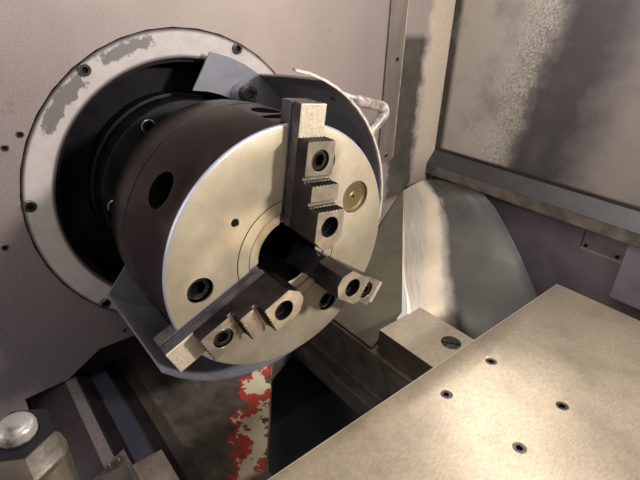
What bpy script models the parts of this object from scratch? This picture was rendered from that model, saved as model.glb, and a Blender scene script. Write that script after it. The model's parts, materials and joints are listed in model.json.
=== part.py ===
"""Enclosed flat-bed CNC turning lathe with a three-jaw chuck, open chuck guard and sliding front door.

Metres, +Z up. X runs along the spindle from the headstock to the tailstock, -Y is the operator's side.
Every piece hangs from the empty spindle_nose, which stands on the spindle axis in the plane of the
headstock wall, so that all places below are measured from there.
"""
import math

import bmesh
import bpy
from mathutils import Matrix, Vector

mm = 0.001

# Driving dimensions
spindle_height = 1080 * mm
centre_height = 220 * mm
chuck_diameter = 250 * mm
work_length = 1300 * mm
head_length = 640 * mm
front_depth = 430 * mm
rear_depth = 500 * mm
top_height = 500 * mm
overhang = 30 * mm
sheet = 3 * mm
seat_gap = 0.3 * mm
overrun = 20 * mm

round_steps = 32
fine_steps = 40
small_steps = 16

# Levels and sides that several pieces share
way_z = -centre_height
floor_z = -spindle_height
front_y = -front_depth
chuck_radius = chuck_diameter / 2

for old in list(bpy.data.objects):
    bpy.data.objects.remove(old, do_unlink=True)

lathe = bpy.data.collections.new("cnc_turning_lathe")
cutters = bpy.data.collections.new("cutters")
bpy.context.scene.collection.children.link(lathe)
bpy.context.scene.collection.children.link(cutters)


def axis_empty(name, place=(0, 0, 0), turn=(0, 0, 0), parent=None):
    """An empty on a joint's axis, which carries the pieces that move about it."""
    empty = bpy.data.objects.new(name, None)
    lathe.objects.link(empty)
    empty.location = place
    empty.rotation_euler = turn
    empty.parent = parent
    bpy.context.view_layer.update()
    return empty


louvre_reach = 12 * mm
left_end = -head_length - seat_gap - sheet - louvre_reach
right_end = work_length + overhang
side_shift = -(left_end + right_end) / 2
nose_frame = Matrix.Translation((side_shift, 0, spindle_height))
nose = axis_empty("spindle_nose", (side_shift, 0, spindle_height))


def finish(name, colour, roughness, metallic):
    """A painted or bare metal finish."""
    material = bpy.data.materials.new(name)
    material.use_nodes = True
    shader = material.node_tree.nodes["Principled BSDF"]
    shader.inputs["Base Color"].default_value = (*colour, 1)
    shader.inputs["Roughness"].default_value = roughness
    shader.inputs["Metallic"].default_value = metallic
    return material


cream_paint = finish("cream_paint", (0.62, 0.58, 0.48), 0.5, 0)
grey_paint = finish("grey_paint", (0.23, 0.21, 0.2), 0.55, 0)
blue_grey_paint = finish("blue_grey_paint", (0.16, 0.18, 0.22), 0.4, 0)
stainless_sheet = finish("stainless_sheet", (0.42, 0.4, 0.37), 0.35, 1)
ground_steel = finish("ground_steel", (0.6, 0.56, 0.48), 0.3, 1)
black_steel = finish("black_steel", (0.05, 0.045, 0.045), 0.4, 1)
hard_steel = finish("hard_steel", (0.18, 0.17, 0.18), 0.35, 1)
brass = finish("brass", (0.6, 0.45, 0.22), 0.3, 1)
cast_iron = finish("cast_iron", (0.2, 0.18, 0.16), 0.55, 1)
black_rubber = finish("black_rubber", (0.02, 0.02, 0.02), 0.8, 0)
clear_plastic = finish("clear_plastic", (0.7, 0.75, 0.75), 0.1, 0)
red_plastic = finish("red_plastic", (0.6, 0.03, 0.03), 0.35, 0)
green_plastic = finish("green_plastic", (0.05, 0.35, 0.12), 0.35, 0)
black_plastic = finish("black_plastic", (0.03, 0.03, 0.035), 0.4, 0)


def show(name, mesh, material, collection=None):
    """A new object of this mesh, in the frame of the spindle nose."""
    piece = bpy.data.objects.new(name, mesh)
    (collection or lathe).objects.link(piece)
    piece.parent = nose
    if material:
        mesh.materials.clear()
        mesh.materials.append(material)
    return piece


def as_cutter(piece):
    """Moves a shape to the cutters, where it is only a guide for a Boolean."""
    if piece.name in lathe.objects:
        lathe.objects.unlink(piece)
        cutters.objects.link(piece)
    piece.hide_render = True
    piece.display_type = "WIRE"
    return piece


def use_boolean(target, tool, operation):
    change = target.modifiers.new(operation.lower() + "_" + tool.name, "BOOLEAN")
    change.operation = operation
    change.solver = "EXACT"
    change.object = as_cutter(tool)
    return target


def cut(target, *tools):
    for tool in tools:
        use_boolean(target, tool, "DIFFERENCE")
    return target


def join(target, *tools):
    for tool in tools:
        use_boolean(target, tool, "UNION")
    return target


def carry(empty, *pieces):
    """Hangs pieces on a joint's empty and keeps them where they are."""
    bpy.context.view_layer.update()
    for piece in pieces:
        world = piece.matrix_world.copy()
        piece.parent = empty
        piece.matrix_parent_inverse = empty.matrix_world.inverted()
        piece.matrix_world = world
    return pieces


def smooth(mesh, angle=math.radians(35)):
    mesh.shade_smooth()
    mesh.set_sharp_from_angle(angle=angle)


def box(name, low, high, material=None, edge=0):
    """A block between two corners, with its edges rounded by edge."""
    frame = bmesh.new()
    bmesh.ops.create_cube(frame, size=1)
    size = Vector(high) - Vector(low)
    bmesh.ops.scale(frame, vec=size, verts=frame.verts)
    mesh = bpy.data.meshes.new(name)
    frame.to_mesh(mesh)
    frame.free()
    piece = show(name, mesh, material)
    piece.location = (Vector(low) + Vector(high)) / 2
    if edge:
        round_edges(piece, edge)
    return piece


def round_edges(piece, width, segments=1):
    bevel = piece.modifiers.new("edges", "BEVEL")
    bevel.width = width
    bevel.segments = segments
    bevel.limit_method = "ANGLE"
    bevel.angle_limit = math.radians(40)
    return piece


along_x = (0, math.pi / 2, 0)
along_y = (-math.pi / 2, 0, 0)
along_z = (0, 0, 0)


def turned(name, profile, material=None, place=(0, 0, 0), turn=along_x, steps=round_steps):
    """A turned piece. The profile lists (distance along the axis, radius) from the far end of the outer
    side to the near end. One that starts and ends off the axis is closed into a ring."""
    mesh = bpy.data.meshes.new(name)
    points = [(radius, 0, along) for along, radius in profile]
    edges = [(i, i + 1) for i in range(len(points) - 1)]
    if profile[0][1] > 0:
        edges.append((len(points) - 1, 0))
    mesh.from_pydata(points, edges, [])
    piece = show(name, mesh, material)
    piece.location = place
    piece.rotation_euler = turn
    screw = piece.modifiers.new("turn", "SCREW")
    screw.steps = steps
    screw.render_steps = steps
    screw.use_merge_vertices = True
    screw.merge_threshold = 0.00005
    screw.use_smooth_shade = False
    return piece


def disc(name, along, radius, material=None, place=(0, 0, 0), turn=along_x, steps=round_steps, chamfer=0):
    """A plain cylinder from along[0] to along[1], with both rims chamfered by chamfer."""
    near, far = along
    if chamfer:
        profile = [
            (far, 0),
            (far, radius - chamfer),
            (far - chamfer, radius),
            (near + chamfer, radius),
            (near, radius - chamfer),
            (near, 0),
        ]
    else:
        profile = [(far, 0), (far, radius), (near, radius), (near, 0)]
    return turned(name, profile, material, place, turn, steps)


def running(radius, steps=round_steps):
    """Radius of a bore of flat facets in which a shaft of this radius turns freely."""
    return (radius + seat_gap) / math.cos(math.pi / steps)


def ring(name, along, radii, material=None, place=(0, 0, 0), turn=along_x, steps=round_steps):
    near, far = along
    inner, outer = radii
    profile = [(far, outer), (near, outer), (near, inner), (far, inner)]
    return turned(name, profile, material, place, turn, steps)


def settle(piece):
    """Makes the shape that the modifiers give, welded, into the piece's own plain mesh."""
    bpy.context.view_layer.update()
    ready = piece.evaluated_get(bpy.context.evaluated_depsgraph_get())
    mesh = bpy.data.meshes.new_from_object(ready)
    frame = bmesh.new()
    frame.from_mesh(mesh)
    bmesh.ops.remove_doubles(frame, verts=frame.verts, dist=0.00001)
    frame.to_mesh(mesh)
    frame.free()
    piece.modifiers.clear()
    piece.data = mesh
    return piece


# Directions in which a flat outline is extruded: its own axes (right, up) become (Y, Z), (X, Z) or (X, Y)
face_x = (math.pi / 2, 0, math.pi / 2)
face_y = (math.pi / 2, 0, 0)
face_z = (0, 0, 0)


def plate(name, outline, span, material=None, face=face_x, holes=()):
    """A flat outline with holes, extruded over span along X, Y or Z, and made a welded mesh."""
    curve = bpy.data.curves.new(name, "CURVE")
    curve.dimensions = "2D"
    curve.fill_mode = "BOTH"
    curve.extrude = abs(span[1] - span[0]) / 2
    for points in (outline, *holes):
        spline = curve.splines.new("POLY")
        spline.points.add(len(points) - 1)
        for point, (right, up) in zip(spline.points, points):
            point.co = (right, up, 0, 1)
        spline.use_cyclic_u = True
    drawn = bpy.data.objects.new(name + "_outline", curve)
    lathe.objects.link(drawn)
    middle = (span[0] + span[1]) / 2
    shift = {face_x: (middle, 0, 0), face_y: (0, middle, 0), face_z: (0, 0, middle)}[face]
    drawn.parent = nose
    drawn.location = shift
    drawn.rotation_euler = face
    bpy.context.view_layer.update()
    ready = drawn.evaluated_get(bpy.context.evaluated_depsgraph_get())
    mesh = bpy.data.meshes.new_from_object(ready)
    frame = bmesh.new()
    frame.from_mesh(mesh)
    bmesh.ops.remove_doubles(frame, verts=frame.verts, dist=0.00001)
    bmesh.ops.recalc_face_normals(frame, faces=frame.faces)
    frame.to_mesh(mesh)
    frame.free()
    piece = show(name, mesh, material)
    piece.matrix_world = drawn.matrix_world.copy()
    bpy.data.objects.remove(drawn, do_unlink=True)
    return piece


def arc(middle, radius, start, end, count):
    """Points of an arc in degrees, both ends included."""
    turns = [math.radians(start + (end - start) * i / count) for i in range(count + 1)]
    return [(middle[0] + radius * math.cos(t), middle[1] + radius * math.sin(t)) for t in turns]


def circle(middle, radius, count=small_steps):
    return arc(middle, radius, 0, 360, count)[:-1]


def rounded(low, high, radius, count=4):
    """A rectangle with round corners, as an outline."""
    left, bottom = low[0] + radius, low[1] + radius
    right, top = high[0] - radius, high[1] - radius
    points = []
    corners = (((right, bottom), -90), ((right, top), 0), ((left, top), 90), ((left, bottom), 180))
    for middle, start in corners:
        points += arc(middle, radius, start, start + 90, count)
    return points


def tube(name, points, radius, material=None, resolution=3):
    """A round bar along a smooth path."""
    curve = bpy.data.curves.new(name, "CURVE")
    curve.dimensions = "3D"
    curve.bevel_depth = radius
    curve.bevel_resolution = resolution
    curve.use_fill_caps = True
    spline = curve.splines.new("POLY")
    spline.points.add(len(points) - 1)
    for point, place in zip(spline.points, points):
        point.co = (*place, 1)
    drawn = bpy.data.objects.new(name + "_path", curve)
    lathe.objects.link(drawn)
    drawn.parent = nose
    bpy.context.view_layer.update()
    mesh = bpy.data.meshes.new_from_object(drawn.evaluated_get(bpy.context.evaluated_depsgraph_get()))
    frame = bmesh.new()
    frame.from_mesh(mesh)
    bmesh.ops.remove_doubles(frame, verts=frame.verts, dist=0.00001)
    bmesh.ops.recalc_face_normals(frame, faces=frame.faces)
    frame.to_mesh(mesh)
    frame.free()
    piece = show(name, mesh, material)
    bpy.data.objects.remove(drawn, do_unlink=True)
    return piece


def folded(name, path, span, material, thickness=sheet, side=-1, axis="x"):
    """A sheet folded along a path in (Y, Z) and as wide as span along X, or in (X, Z) and along Y."""
    frame = bmesh.new()
    if axis == "x":
        rows = [[(end, right, up) for right, up in path] for end in span]
    else:
        rows = [[(right, end, up) for right, up in path] for end in span]
    verts = [[frame.verts.new(point) for point in row] for row in rows]
    for i in range(len(path) - 1):
        frame.faces.new((verts[0][i], verts[0][i + 1], verts[1][i + 1], verts[1][i]))
    mesh = bpy.data.meshes.new(name)
    frame.to_mesh(mesh)
    frame.free()
    piece = show(name, mesh, material)
    thicken(piece, thickness, side)
    return piece


def thicken(piece, thickness, side=-1):
    solid = piece.modifiers.new("sheet", "SOLIDIFY")
    solid.thickness = thickness
    solid.offset = side
    solid.use_even_offset = True
    return piece


# Base: a welded stand in the form of a trough, on six levelling feet
base_inset = 20 * mm
base_left = -head_length + base_inset
base_right = work_length - base_inset
base_front = -300 * mm
base_rear = 400 * mm
bed_depth = 200 * mm
bed_foot_z = way_z - bed_depth
base_top = bed_foot_z - seat_gap
foot_height = 60 * mm
base_bottom = floor_z + foot_height
trough_left = 70 * mm
trough_end = 230 * mm
trough_right = work_length - trough_end
trough_height = 260 * mm
trough_floor = base_bottom + trough_height
foot_radius = 40 * mm
foot_neck = 14 * mm
foot_pad = 18 * mm
foot_inset = 90 * mm
foot_steps = 12
kick_height = 60 * mm

base_outline = [
    (base_left, base_bottom),
    (base_right, base_bottom),
    (base_right, base_top),
    (trough_right, base_top),
    (trough_right - kick_height, base_top - kick_height),
    (trough_right - kick_height, trough_floor),
    (trough_left + kick_height, trough_floor),
    (trough_left + kick_height, base_top - kick_height),
    (trough_left, base_top),
    (base_left, base_top),
]
base = plate("machine_base", base_outline, (base_front, base_rear), grey_paint, face_y)
feet_x = (base_left + foot_inset, (base_left + base_right) / 2, base_right - foot_inset)
feet_y = (base_front + foot_inset, base_rear - foot_inset)
for row, foot_x in enumerate(feet_x):
    for side, foot_y in enumerate(feet_y):
        profile = [
            (base_bottom + overrun, 0),
            (base_bottom + overrun, foot_neck),
            (floor_z + foot_pad, foot_neck),
            (floor_z + foot_pad, foot_radius * 0.6),
            (floor_z + foot_pad / 2, foot_radius),
            (floor_z, foot_radius),
            (floor_z, 0),
        ]
        foot = turned(f"foot_{row}_{side}", profile, None, (foot_x, foot_y, 0), along_z, foot_steps)
        join(base, foot)

# Chip tray: a folded pan that lies in the trough of the stand
tray_wall = 90 * mm
tray_gap = 6 * mm
tray_left = trough_left + kick_height + tray_gap
tray_right = trough_right - kick_height - tray_gap
tray_floor = trough_floor + seat_gap
tray_flare = 40 * mm
tray_path = [
    (base_front + tray_gap - tray_flare, tray_floor + tray_wall),
    (base_front + tray_gap, tray_floor),
    (base_rear - tray_gap, tray_floor),
    (base_rear - tray_gap + tray_flare, tray_floor + tray_wall),
]
tray = folded("chip_tray", tray_path, (tray_left, tray_right), stainless_sheet, sheet, -1)
for name, end in (("left", tray_left), ("right", tray_right)):
    inward = sheet if name == "left" else -sheet
    wall_outline = [
        tray_path[0],
        (tray_path[1][0] + sheet, tray_path[1][1] + sheet / 2),
        (tray_path[2][0] - sheet, tray_path[2][1] + sheet / 2),
        tray_path[3],
    ]
    wall = plate(f"tray_end_{name}", wall_outline, sorted((end, end + inward)), None, face_x)
    join(tray, wall)

# Bed: one casting with a prismatic front guide, a flat rear guide and a web with slanting openings between
belt_room = 100 * mm
bed_end = 70 * mm
bed_left = -head_length + belt_room
bed_right = work_length - bed_end
front_outer = -235 * mm
crest_front = -190 * mm
crest_rear = -178 * mm
flank_foot = -161 * mm
flat_rear = -143 * mm
flank_drop = 17 * mm
step_drop = 32 * mm
web_front = -120 * mm
web_front_drop = 42 * mm
web_rear_drop = 82 * mm
rear_guide = 155 * mm
rear_guide_step = 8 * mm
rear_guide_thick = 20 * mm
rear_outer = 240 * mm
bed_wall = 42 * mm
bed_toe = 20 * mm
under_front = 90 * mm
under_rear = 118 * mm
shoulder = crest_front - front_outer

bed_outline = [
    (front_outer + bed_toe, bed_foot_z),
    (front_outer, bed_foot_z + bed_toe),
    *arc((crest_front, way_z - shoulder), shoulder, 180, 90, 5),
    (crest_rear, way_z),
    (flank_foot, way_z - flank_drop),
    (flat_rear, way_z - flank_drop),
    (flat_rear, way_z - step_drop),
    (web_front, way_z - web_front_drop),
    (rear_guide, way_z - web_rear_drop),
    (rear_guide + rear_guide_step, way_z - web_rear_drop),
    (rear_guide + rear_guide_step, way_z - rear_guide_thick),
    (rear_guide, way_z - rear_guide_thick),
    (rear_guide, way_z),
    (rear_outer, way_z),
    (rear_outer, bed_foot_z + bed_toe),
    (rear_outer - bed_toe, bed_foot_z),
    (rear_outer - bed_wall, bed_foot_z),
    (rear_outer - bed_wall, way_z - under_rear),
    (front_outer + bed_wall, way_z - under_front),
    (front_outer + bed_wall, bed_foot_z),
]
bed = plate("bed", bed_outline, (bed_left, bed_right), cast_iron, face_x)
opening_first = 30 * mm
opening_pitch = 325 * mm
opening_count = 3
opening_length = 295 * mm
opening_lead = 32 * mm
opening_lead_y = 76 * mm
opening_run = 192 * mm
opening_front = -40 * mm
opening_rear = 140 * mm
opening_shape = [
    (0, opening_rear),
    (opening_lead, opening_lead_y),
    (opening_run, opening_front),
    (opening_length, opening_front),
    (opening_length, opening_rear),
]
for number in range(opening_count):
    start_x = opening_first + opening_pitch * number
    if number % 2 == 0:
        outline = [(start_x + along, side) for along, side in opening_shape]
    else:
        outline = [(start_x + opening_length - along, side) for along, side in opening_shape]
    hole = plate(f"bed_opening_{number}", outline, (bed_foot_z, way_z), None, face_z)
    cut(bed, hole)

# Headstock: a casting with an arched front that backs the cover ring, bored through for the spindle
head_left = bed_left
head_face = -4 * mm
arch_radius = 195 * mm
recess_radius = 150 * mm
recess_depth = 36 * mm
spindle_bore = 85 * mm
head_outline = [
    (-arch_radius, way_z + seat_gap),
    (arch_radius, way_z + seat_gap),
    *arc((0, 0), arch_radius, 0, 180, 24),
]
headstock = plate("headstock", head_outline, (head_left, head_face), cream_paint, face_x)
recess = disc("headstock_recess", (head_face - recess_depth, head_face + overrun), recess_radius,
              steps=fine_steps)
bore = disc("headstock_bore", (head_left - overrun, head_face), spindle_bore)
cut(headstock, recess, bore)

# Cover ring: painted steel ring screwed to the front of the headstock, around the spindle
ring_outer = 185 * mm
ring_inner = 154 * mm
ring_thickness = 6 * mm
ring_edge = 1 * mm
ring_rear = head_face + seat_gap
cover_ring = turned(
    "cover_ring",
    [
        (ring_rear + ring_thickness, ring_outer - ring_edge),
        (ring_rear + ring_thickness - ring_edge, ring_outer),
        (ring_rear, ring_outer),
        (ring_rear, ring_inner),
        (ring_rear + ring_thickness - ring_edge, ring_inner),
        (ring_rear + ring_thickness, ring_inner + ring_edge),
    ],
    cream_paint,
    steps=fine_steps,
)

# Spindle with its bearings: a hollow shaft in two bearing rings, with a flange for the chuck
shaft_radius = 55 * mm
bar_bore = 30 * mm
tail_clear = 40 * mm
spindle_tail = -head_length + tail_clear
flange_rear = 12 * mm
flange_front = 30 * mm
flange_radius = 85 * mm
taper_radius = 62 * mm
spindle = turned(
    "spindle",
    [
        (flange_front, flange_radius),
        (flange_rear, flange_radius),
        (flange_rear, taper_radius - sheet),
        (-recess_depth, taper_radius - sheet),
        (-recess_depth, shaft_radius),
        (spindle_tail, shaft_radius),
        (spindle_tail, bar_bore),
        (flange_front, bar_bore),
    ],
    hard_steel,
)
bearing_radii = (running(shaft_radius, small_steps), spindle_bore - seat_gap)
front_bearing_length = 84 * mm
rear_bearing_length = 60 * mm
front_bearing_depth = 6 * mm
rear_bearing_depth = 20 * mm
front_bearing_right = head_face - recess_depth - front_bearing_depth
rear_bearing_left = head_left + rear_bearing_depth
front_bearing_x = (front_bearing_right - front_bearing_length, front_bearing_right)
rear_bearing_x = (rear_bearing_left, rear_bearing_left + rear_bearing_length)
front_bearing = ring("front_bearing", front_bearing_x, bearing_radii, ground_steel, steps=small_steps)
rear_bearing = ring("rear_bearing", rear_bearing_x, bearing_radii, ground_steel, steps=small_steps)

# Bearing cover: black flange screwed into the recess of the headstock, round the spindle
bearing_cover_radius = 110 * mm
bearing_cover_front = 8 * mm
bearing_cover_edge = 2 * mm
cover_seat = head_face - recess_depth + seat_gap
bearing_cover = turned(
    "bearing_cover",
    [
        (bearing_cover_front, bearing_cover_radius - bearing_cover_edge),
        (bearing_cover_front - bearing_cover_edge, bearing_cover_radius),
        (cover_seat, bearing_cover_radius),
        (cover_seat, taper_radius),
        (bearing_cover_front, taper_radius),
    ],
    black_steel,
)

# Chuck adapter: short flange between the spindle's flange and the back of the chuck
chuck_rear = 69 * mm
adapter_radius = 98 * mm
adapter = ring(
    "chuck_adapter",
    (flange_front + seat_gap, chuck_rear - seat_gap),
    (bar_bore + sheet, adapter_radius),
    black_steel,
)

# Chuck: a turned steel body in two sections with three T-slots, bushed bore, key hole and counterbores
chuck_face = 216 * mm
chuck_joint = 125 * mm
face_edge = 2 * mm
joint_groove = 2 * mm
groove_drop = 2 * mm
band_end = 106 * mm
band_groove = 4 * mm
rear_band_drop = 3 * mm
rear_band_radius = chuck_radius - rear_band_drop
rear_edge = 12 * mm
rear_rim_drop = 8 * mm
rear_rim_radius = chuck_radius - rear_rim_drop
chuck_bore = 44.5 * mm
chuck_body = turned(
    "chuck_body",
    [
        (chuck_face, chuck_radius - face_edge),
        (chuck_face - face_edge, chuck_radius),
        (chuck_joint, chuck_radius),
        (chuck_joint, chuck_radius - groove_drop),
        (chuck_joint - joint_groove, chuck_radius - groove_drop),
        (chuck_joint - joint_groove, chuck_radius - seat_gap),
        (band_end, chuck_radius - seat_gap),
        (band_end, rear_band_radius - groove_drop),
        (band_end - band_groove, rear_band_radius - groove_drop),
        (band_end - band_groove, rear_band_radius),
        (chuck_rear + rear_edge, rear_band_radius),
        (chuck_rear, rear_rim_radius),
        (chuck_rear, chuck_bore),
        (chuck_face, chuck_bore),
    ],
    hard_steel,
    steps=fine_steps,
)
jaw_angles = [math.radians(83.5 + 120 * i) for i in range(3)]
jaw_names = ("a", "b", "c")
slot_half = 13.8 * mm
slot_floor = 181 * mm
tee_half = 19.3 * mm
tee_front = 195 * mm
slot_start = 20 * mm
for name, angle in zip(jaw_names, jaw_angles):
    stem = box(
        f"slot_stem_{name}",
        (slot_floor, slot_start, -slot_half),
        (chuck_face + overrun, chuck_radius + overrun, slot_half),
    )
    tee = box(
        f"slot_tee_{name}",
        (slot_floor, slot_start, -tee_half),
        (tee_front, chuck_radius + overrun, tee_half),
    )
    join(stem, tee)
    settle(stem)
    bpy.data.objects.remove(tee, do_unlink=True)
    stem.rotation_euler = (angle, 0, 0)
    stem.location = Matrix.Rotation(angle, 3, "X") @ stem.location
    cut(chuck_body, stem)
key_hole_x = 172 * mm
key_hole_radius = 17 * mm
key_hole_depth = 60 * mm
key_angle = jaw_angles[0] + math.radians(60)
key_hole = disc(
    "key_hole",
    (chuck_radius - key_hole_depth, chuck_radius + overrun),
    key_hole_radius,
    place=(key_hole_x, 0, 0),
    turn=(key_angle - math.pi / 2, 0, 0),
    steps=small_steps,
)
cut(chuck_body, key_hole)
pin_hole_x = 160 * mm
pin_hole_radius = 14 * mm
pin_hole_depth = 22 * mm
for name, angle in zip(jaw_names, jaw_angles):
    pin_hole = disc(
        f"pin_hole_{name}",
        (chuck_radius - pin_hole_depth, chuck_radius + overrun),
        pin_hole_radius,
        place=(pin_hole_x, 0, 0),
        turn=(angle - math.pi / 2, 0, 0),
        steps=small_steps,
    )
    cut(chuck_body, pin_hole)
mount_inset = 31 * mm
mount_circle = chuck_radius - mount_inset
counterbore_radius = 12.5 * mm
counterbore_depth = 20 * mm
mount_angle = math.radians(63.7)
for i in range(3):
    angle = mount_angle + math.radians(120) * i
    hole = disc(
        f"counterbore_{i}",
        (chuck_face - counterbore_depth, chuck_face + overrun),
        counterbore_radius,
        place=(0, mount_circle * math.cos(angle), mount_circle * math.sin(angle)),
        steps=small_steps,
    )
    cut(chuck_body, hole)
disc_inset = 33 * mm
disc_circle = chuck_radius - disc_inset
disc_radius = 17.5 * mm
disc_depth = 8 * mm
disc_angle = math.radians(24.2)
disc_place = (0, disc_circle * math.cos(disc_angle), disc_circle * math.sin(disc_angle))
disc_pocket = disc(
    "disc_pocket",
    (chuck_face - disc_depth, chuck_face + overrun),
    disc_radius,
    place=disc_place,
    steps=small_steps,
)
cut(chuck_body, disc_pocket)

# Turned disc: a small brass-coloured plug in its pocket on the face of the chuck
disc_thickness = 5 * mm
disc_chamfer = 0.6 * mm
disc_seat = chuck_face - disc_depth + seat_gap
chuck_disc = disc(
    "chuck_disc",
    (disc_seat, disc_seat + disc_thickness),
    disc_radius - seat_gap,
    brass,
    disc_place,
    steps=small_steps,
    chamfer=disc_chamfer,
)

# Chuck bush: a ring in the bore, slotted for the jaws
bush_bore = 34 * mm
bush_rear = 150 * mm
bush_sink = 1 * mm
chuck_bush = ring(
    "chuck_bush",
    (bush_rear, chuck_face - bush_sink),
    (bush_bore, chuck_bore - seat_gap),
    ground_steel,
)
for name, angle in zip(jaw_names, jaw_angles):
    gate = box(
        f"bush_gate_{name}",
        (slot_floor, slot_start, -tee_half - seat_gap),
        (chuck_face + overrun, chuck_bore + overrun, tee_half + seat_gap),
    )
    gate.rotation_euler = (angle, 0, 0)
    gate.location = Matrix.Rotation(angle, 3, "X") @ gate.location
    cut(chuck_bush, gate)

# Jaws: a T-shaped base jaw in each slot and a stepped, serrated top jaw screwed on it
jaw_width = 27 * mm
base_jaw_proud = 15 * mm
base_jaw_front = chuck_face + base_jaw_proud
base_jaw_inner = 34 * mm
jaw_overhang = 18 * mm
base_jaw_outer = chuck_radius + jaw_overhang
heel_front = 203 * mm
heel_inset = 3 * mm
heel_outer = chuck_radius - heel_inset
groove_height = 5 * mm
groove_sink = 3 * mm
groove_x = 219 * mm
top_jaw_width = 30 * mm
first_step = 15 * mm
step_rise = 11 * mm
low_step_outer = 114.5 * mm
middle_step_outer = 80 * mm
high_step_outer = 61 * mm
step_fronts = [base_jaw_front + first_step + step_rise * i for i in range(3)]
step_outer = (low_step_outer, middle_step_outer, high_step_outer)
top_jaw_inner = 26 * mm
nose_height = 9 * mm
relief = 4 * mm
relief_drop = 3 * mm
tooth = 1.6 * mm
tooth_count = 8
screw_circle = 99 * mm
inner_hole_circle = 47 * mm
jaw_screw_radius = 9.5 * mm
jaw_screw_depth = 9 * mm
step_overlap = 4 * mm


def base_jaw(name):
    """The T-shaped base jaw, along +Y, with a guide groove in each side. Its heel ends inside the chuck,
    and only its front part stands out."""
    half = jaw_width / 2
    tee = tee_half - seat_gap
    bottom = slot_floor + seat_gap
    shelf = tee_front - seat_gap
    heel_outline = [
        (-half, heel_front),
        (-half, shelf),
        (-tee, shelf),
        (-tee, bottom),
        (tee, bottom),
        (tee, shelf),
        (half, shelf),
        (half, heel_front),
    ]
    toe_outline = [
        (half, heel_front),
        (half, groove_x - groove_height / 2),
        (half - groove_sink, groove_x - groove_height / 2),
        (half - groove_sink, groove_x + groove_height / 2),
        (half, groove_x + groove_height / 2),
        (half, base_jaw_front),
        (-half, base_jaw_front),
        (-half, groove_x + groove_height / 2),
        (-half + groove_sink, groove_x + groove_height / 2),
        (-half + groove_sink, groove_x - groove_height / 2),
        (-half, groove_x - groove_height / 2),
        (-half, heel_front),
    ]
    whole = heel_outline + toe_outline[1:-1]
    form = bmesh.new()
    inner, heel, outer = [
        [form.verts.new((along, radius, side)) for side, along in outline]
        for radius, outline in ((base_jaw_inner, whole), (heel_outer, whole), (base_jaw_outer, toe_outline))
    ]
    for i, vert in enumerate(inner):
        form.faces.new((vert, inner[i - 1], heel[i - 1], heel[i]))
    toe = heel[len(heel_outline) - 1 :] + heel[:1]
    for i, vert in enumerate(toe):
        form.faces.new((vert, toe[i - 1], outer[i - 1], outer[i]))
    form.faces.new(inner)
    form.faces.new(heel[: len(heel_outline)])
    form.faces.new(outer)
    bmesh.ops.recalc_face_normals(form, faces=form.faces)
    mesh = bpy.data.meshes.new(name)
    form.to_mesh(mesh)
    form.free()
    return show(name, mesh, hard_steel)


def serrated_step(radius, half):
    """Outline points, in (Y, Z) seen along X, of a step's outer face with vertical teeth."""
    pitch = 2 * half / tooth_count
    points = []
    for i in range(tooth_count):
        points.append((radius, -half + pitch * i))
        points.append((radius + tooth, -half + pitch * (i + 0.5)))
    points.append((radius, half))
    return points


def top_jaw(name):
    """Three steps that rise towards the axis. The outer face of each is serrated, and a relief groove
    lies at its foot. The inner end is a blunt V, so that three jaws close to a small diameter."""
    half = top_jaw_width / 2
    lows = (base_jaw_front + seat_gap, *step_fronts[:-1])
    piece = None
    for number, (low, high, outer) in enumerate(zip(lows, step_fronts, step_outer)):
        outline = [
            (top_jaw_inner + nose_height, half),
            (top_jaw_inner, half / 3),
            (top_jaw_inner, -half / 3),
            (top_jaw_inner + nose_height, -half),
            *serrated_step(outer, half),
        ]
        bottom = low - (step_overlap if number else 0)
        layer = plate(f"{name}_step_{number}", outline, (bottom, high), hard_steel, face_x)
        if piece:
            join(piece, layer)
        else:
            piece = layer
            piece.name = name
    holes = ((step_fronts[0], screw_circle), (step_fronts[2], inner_hole_circle))
    for number, (front, circle_radius) in enumerate(holes):
        hole = disc(
            f"{name}_hole_{number}",
            (front - jaw_screw_depth, front + overrun),
            jaw_screw_radius,
            place=(0, circle_radius, 0),
            steps=small_steps,
        )
        cut(piece, hole)
    for number, (front, outer) in enumerate(zip(step_fronts[:-1], step_outer[1:])):
        groove = box(
            f"{name}_relief_{number}",
            (front - relief_drop, outer + tooth + seat_gap, -half - overrun),
            (front + overrun, outer + tooth + relief, half + overrun),
        )
        cut(piece, groove)
    return piece


jaws = {}
first_base = settle(base_jaw("base_jaw_a"))
first_top = settle(top_jaw("top_jaw_a"))
for tool in [one for one in cutters.objects if one.name.startswith("top_jaw_a")]:
    bpy.data.objects.remove(tool, do_unlink=True)
for name, angle in zip(jaw_names, jaw_angles):
    slide = axis_empty(f"jaw_{name}_slide", (0, 0, 0), (angle, 0, 0), nose)
    turn = Matrix.Rotation(angle, 4, "X")
    pair = []
    for first in (first_base, first_top):
        if name == "a":
            piece = first
        else:
            piece = show(first.name.replace("_a", f"_{name}"), first.data, None)
        pair.append((piece, first))
    jaws[name] = (slide, turn, pair)
bpy.context.view_layer.update()
upright = {one.name: one.matrix_world.copy() for one in (first_base, first_top)}
for name, (slide, turn, pair) in jaws.items():
    for piece, first in pair:
        piece.matrix_world = nose_frame @ turn @ nose_frame.inverted() @ upright[first.name]
        carry(slide, piece)

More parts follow.
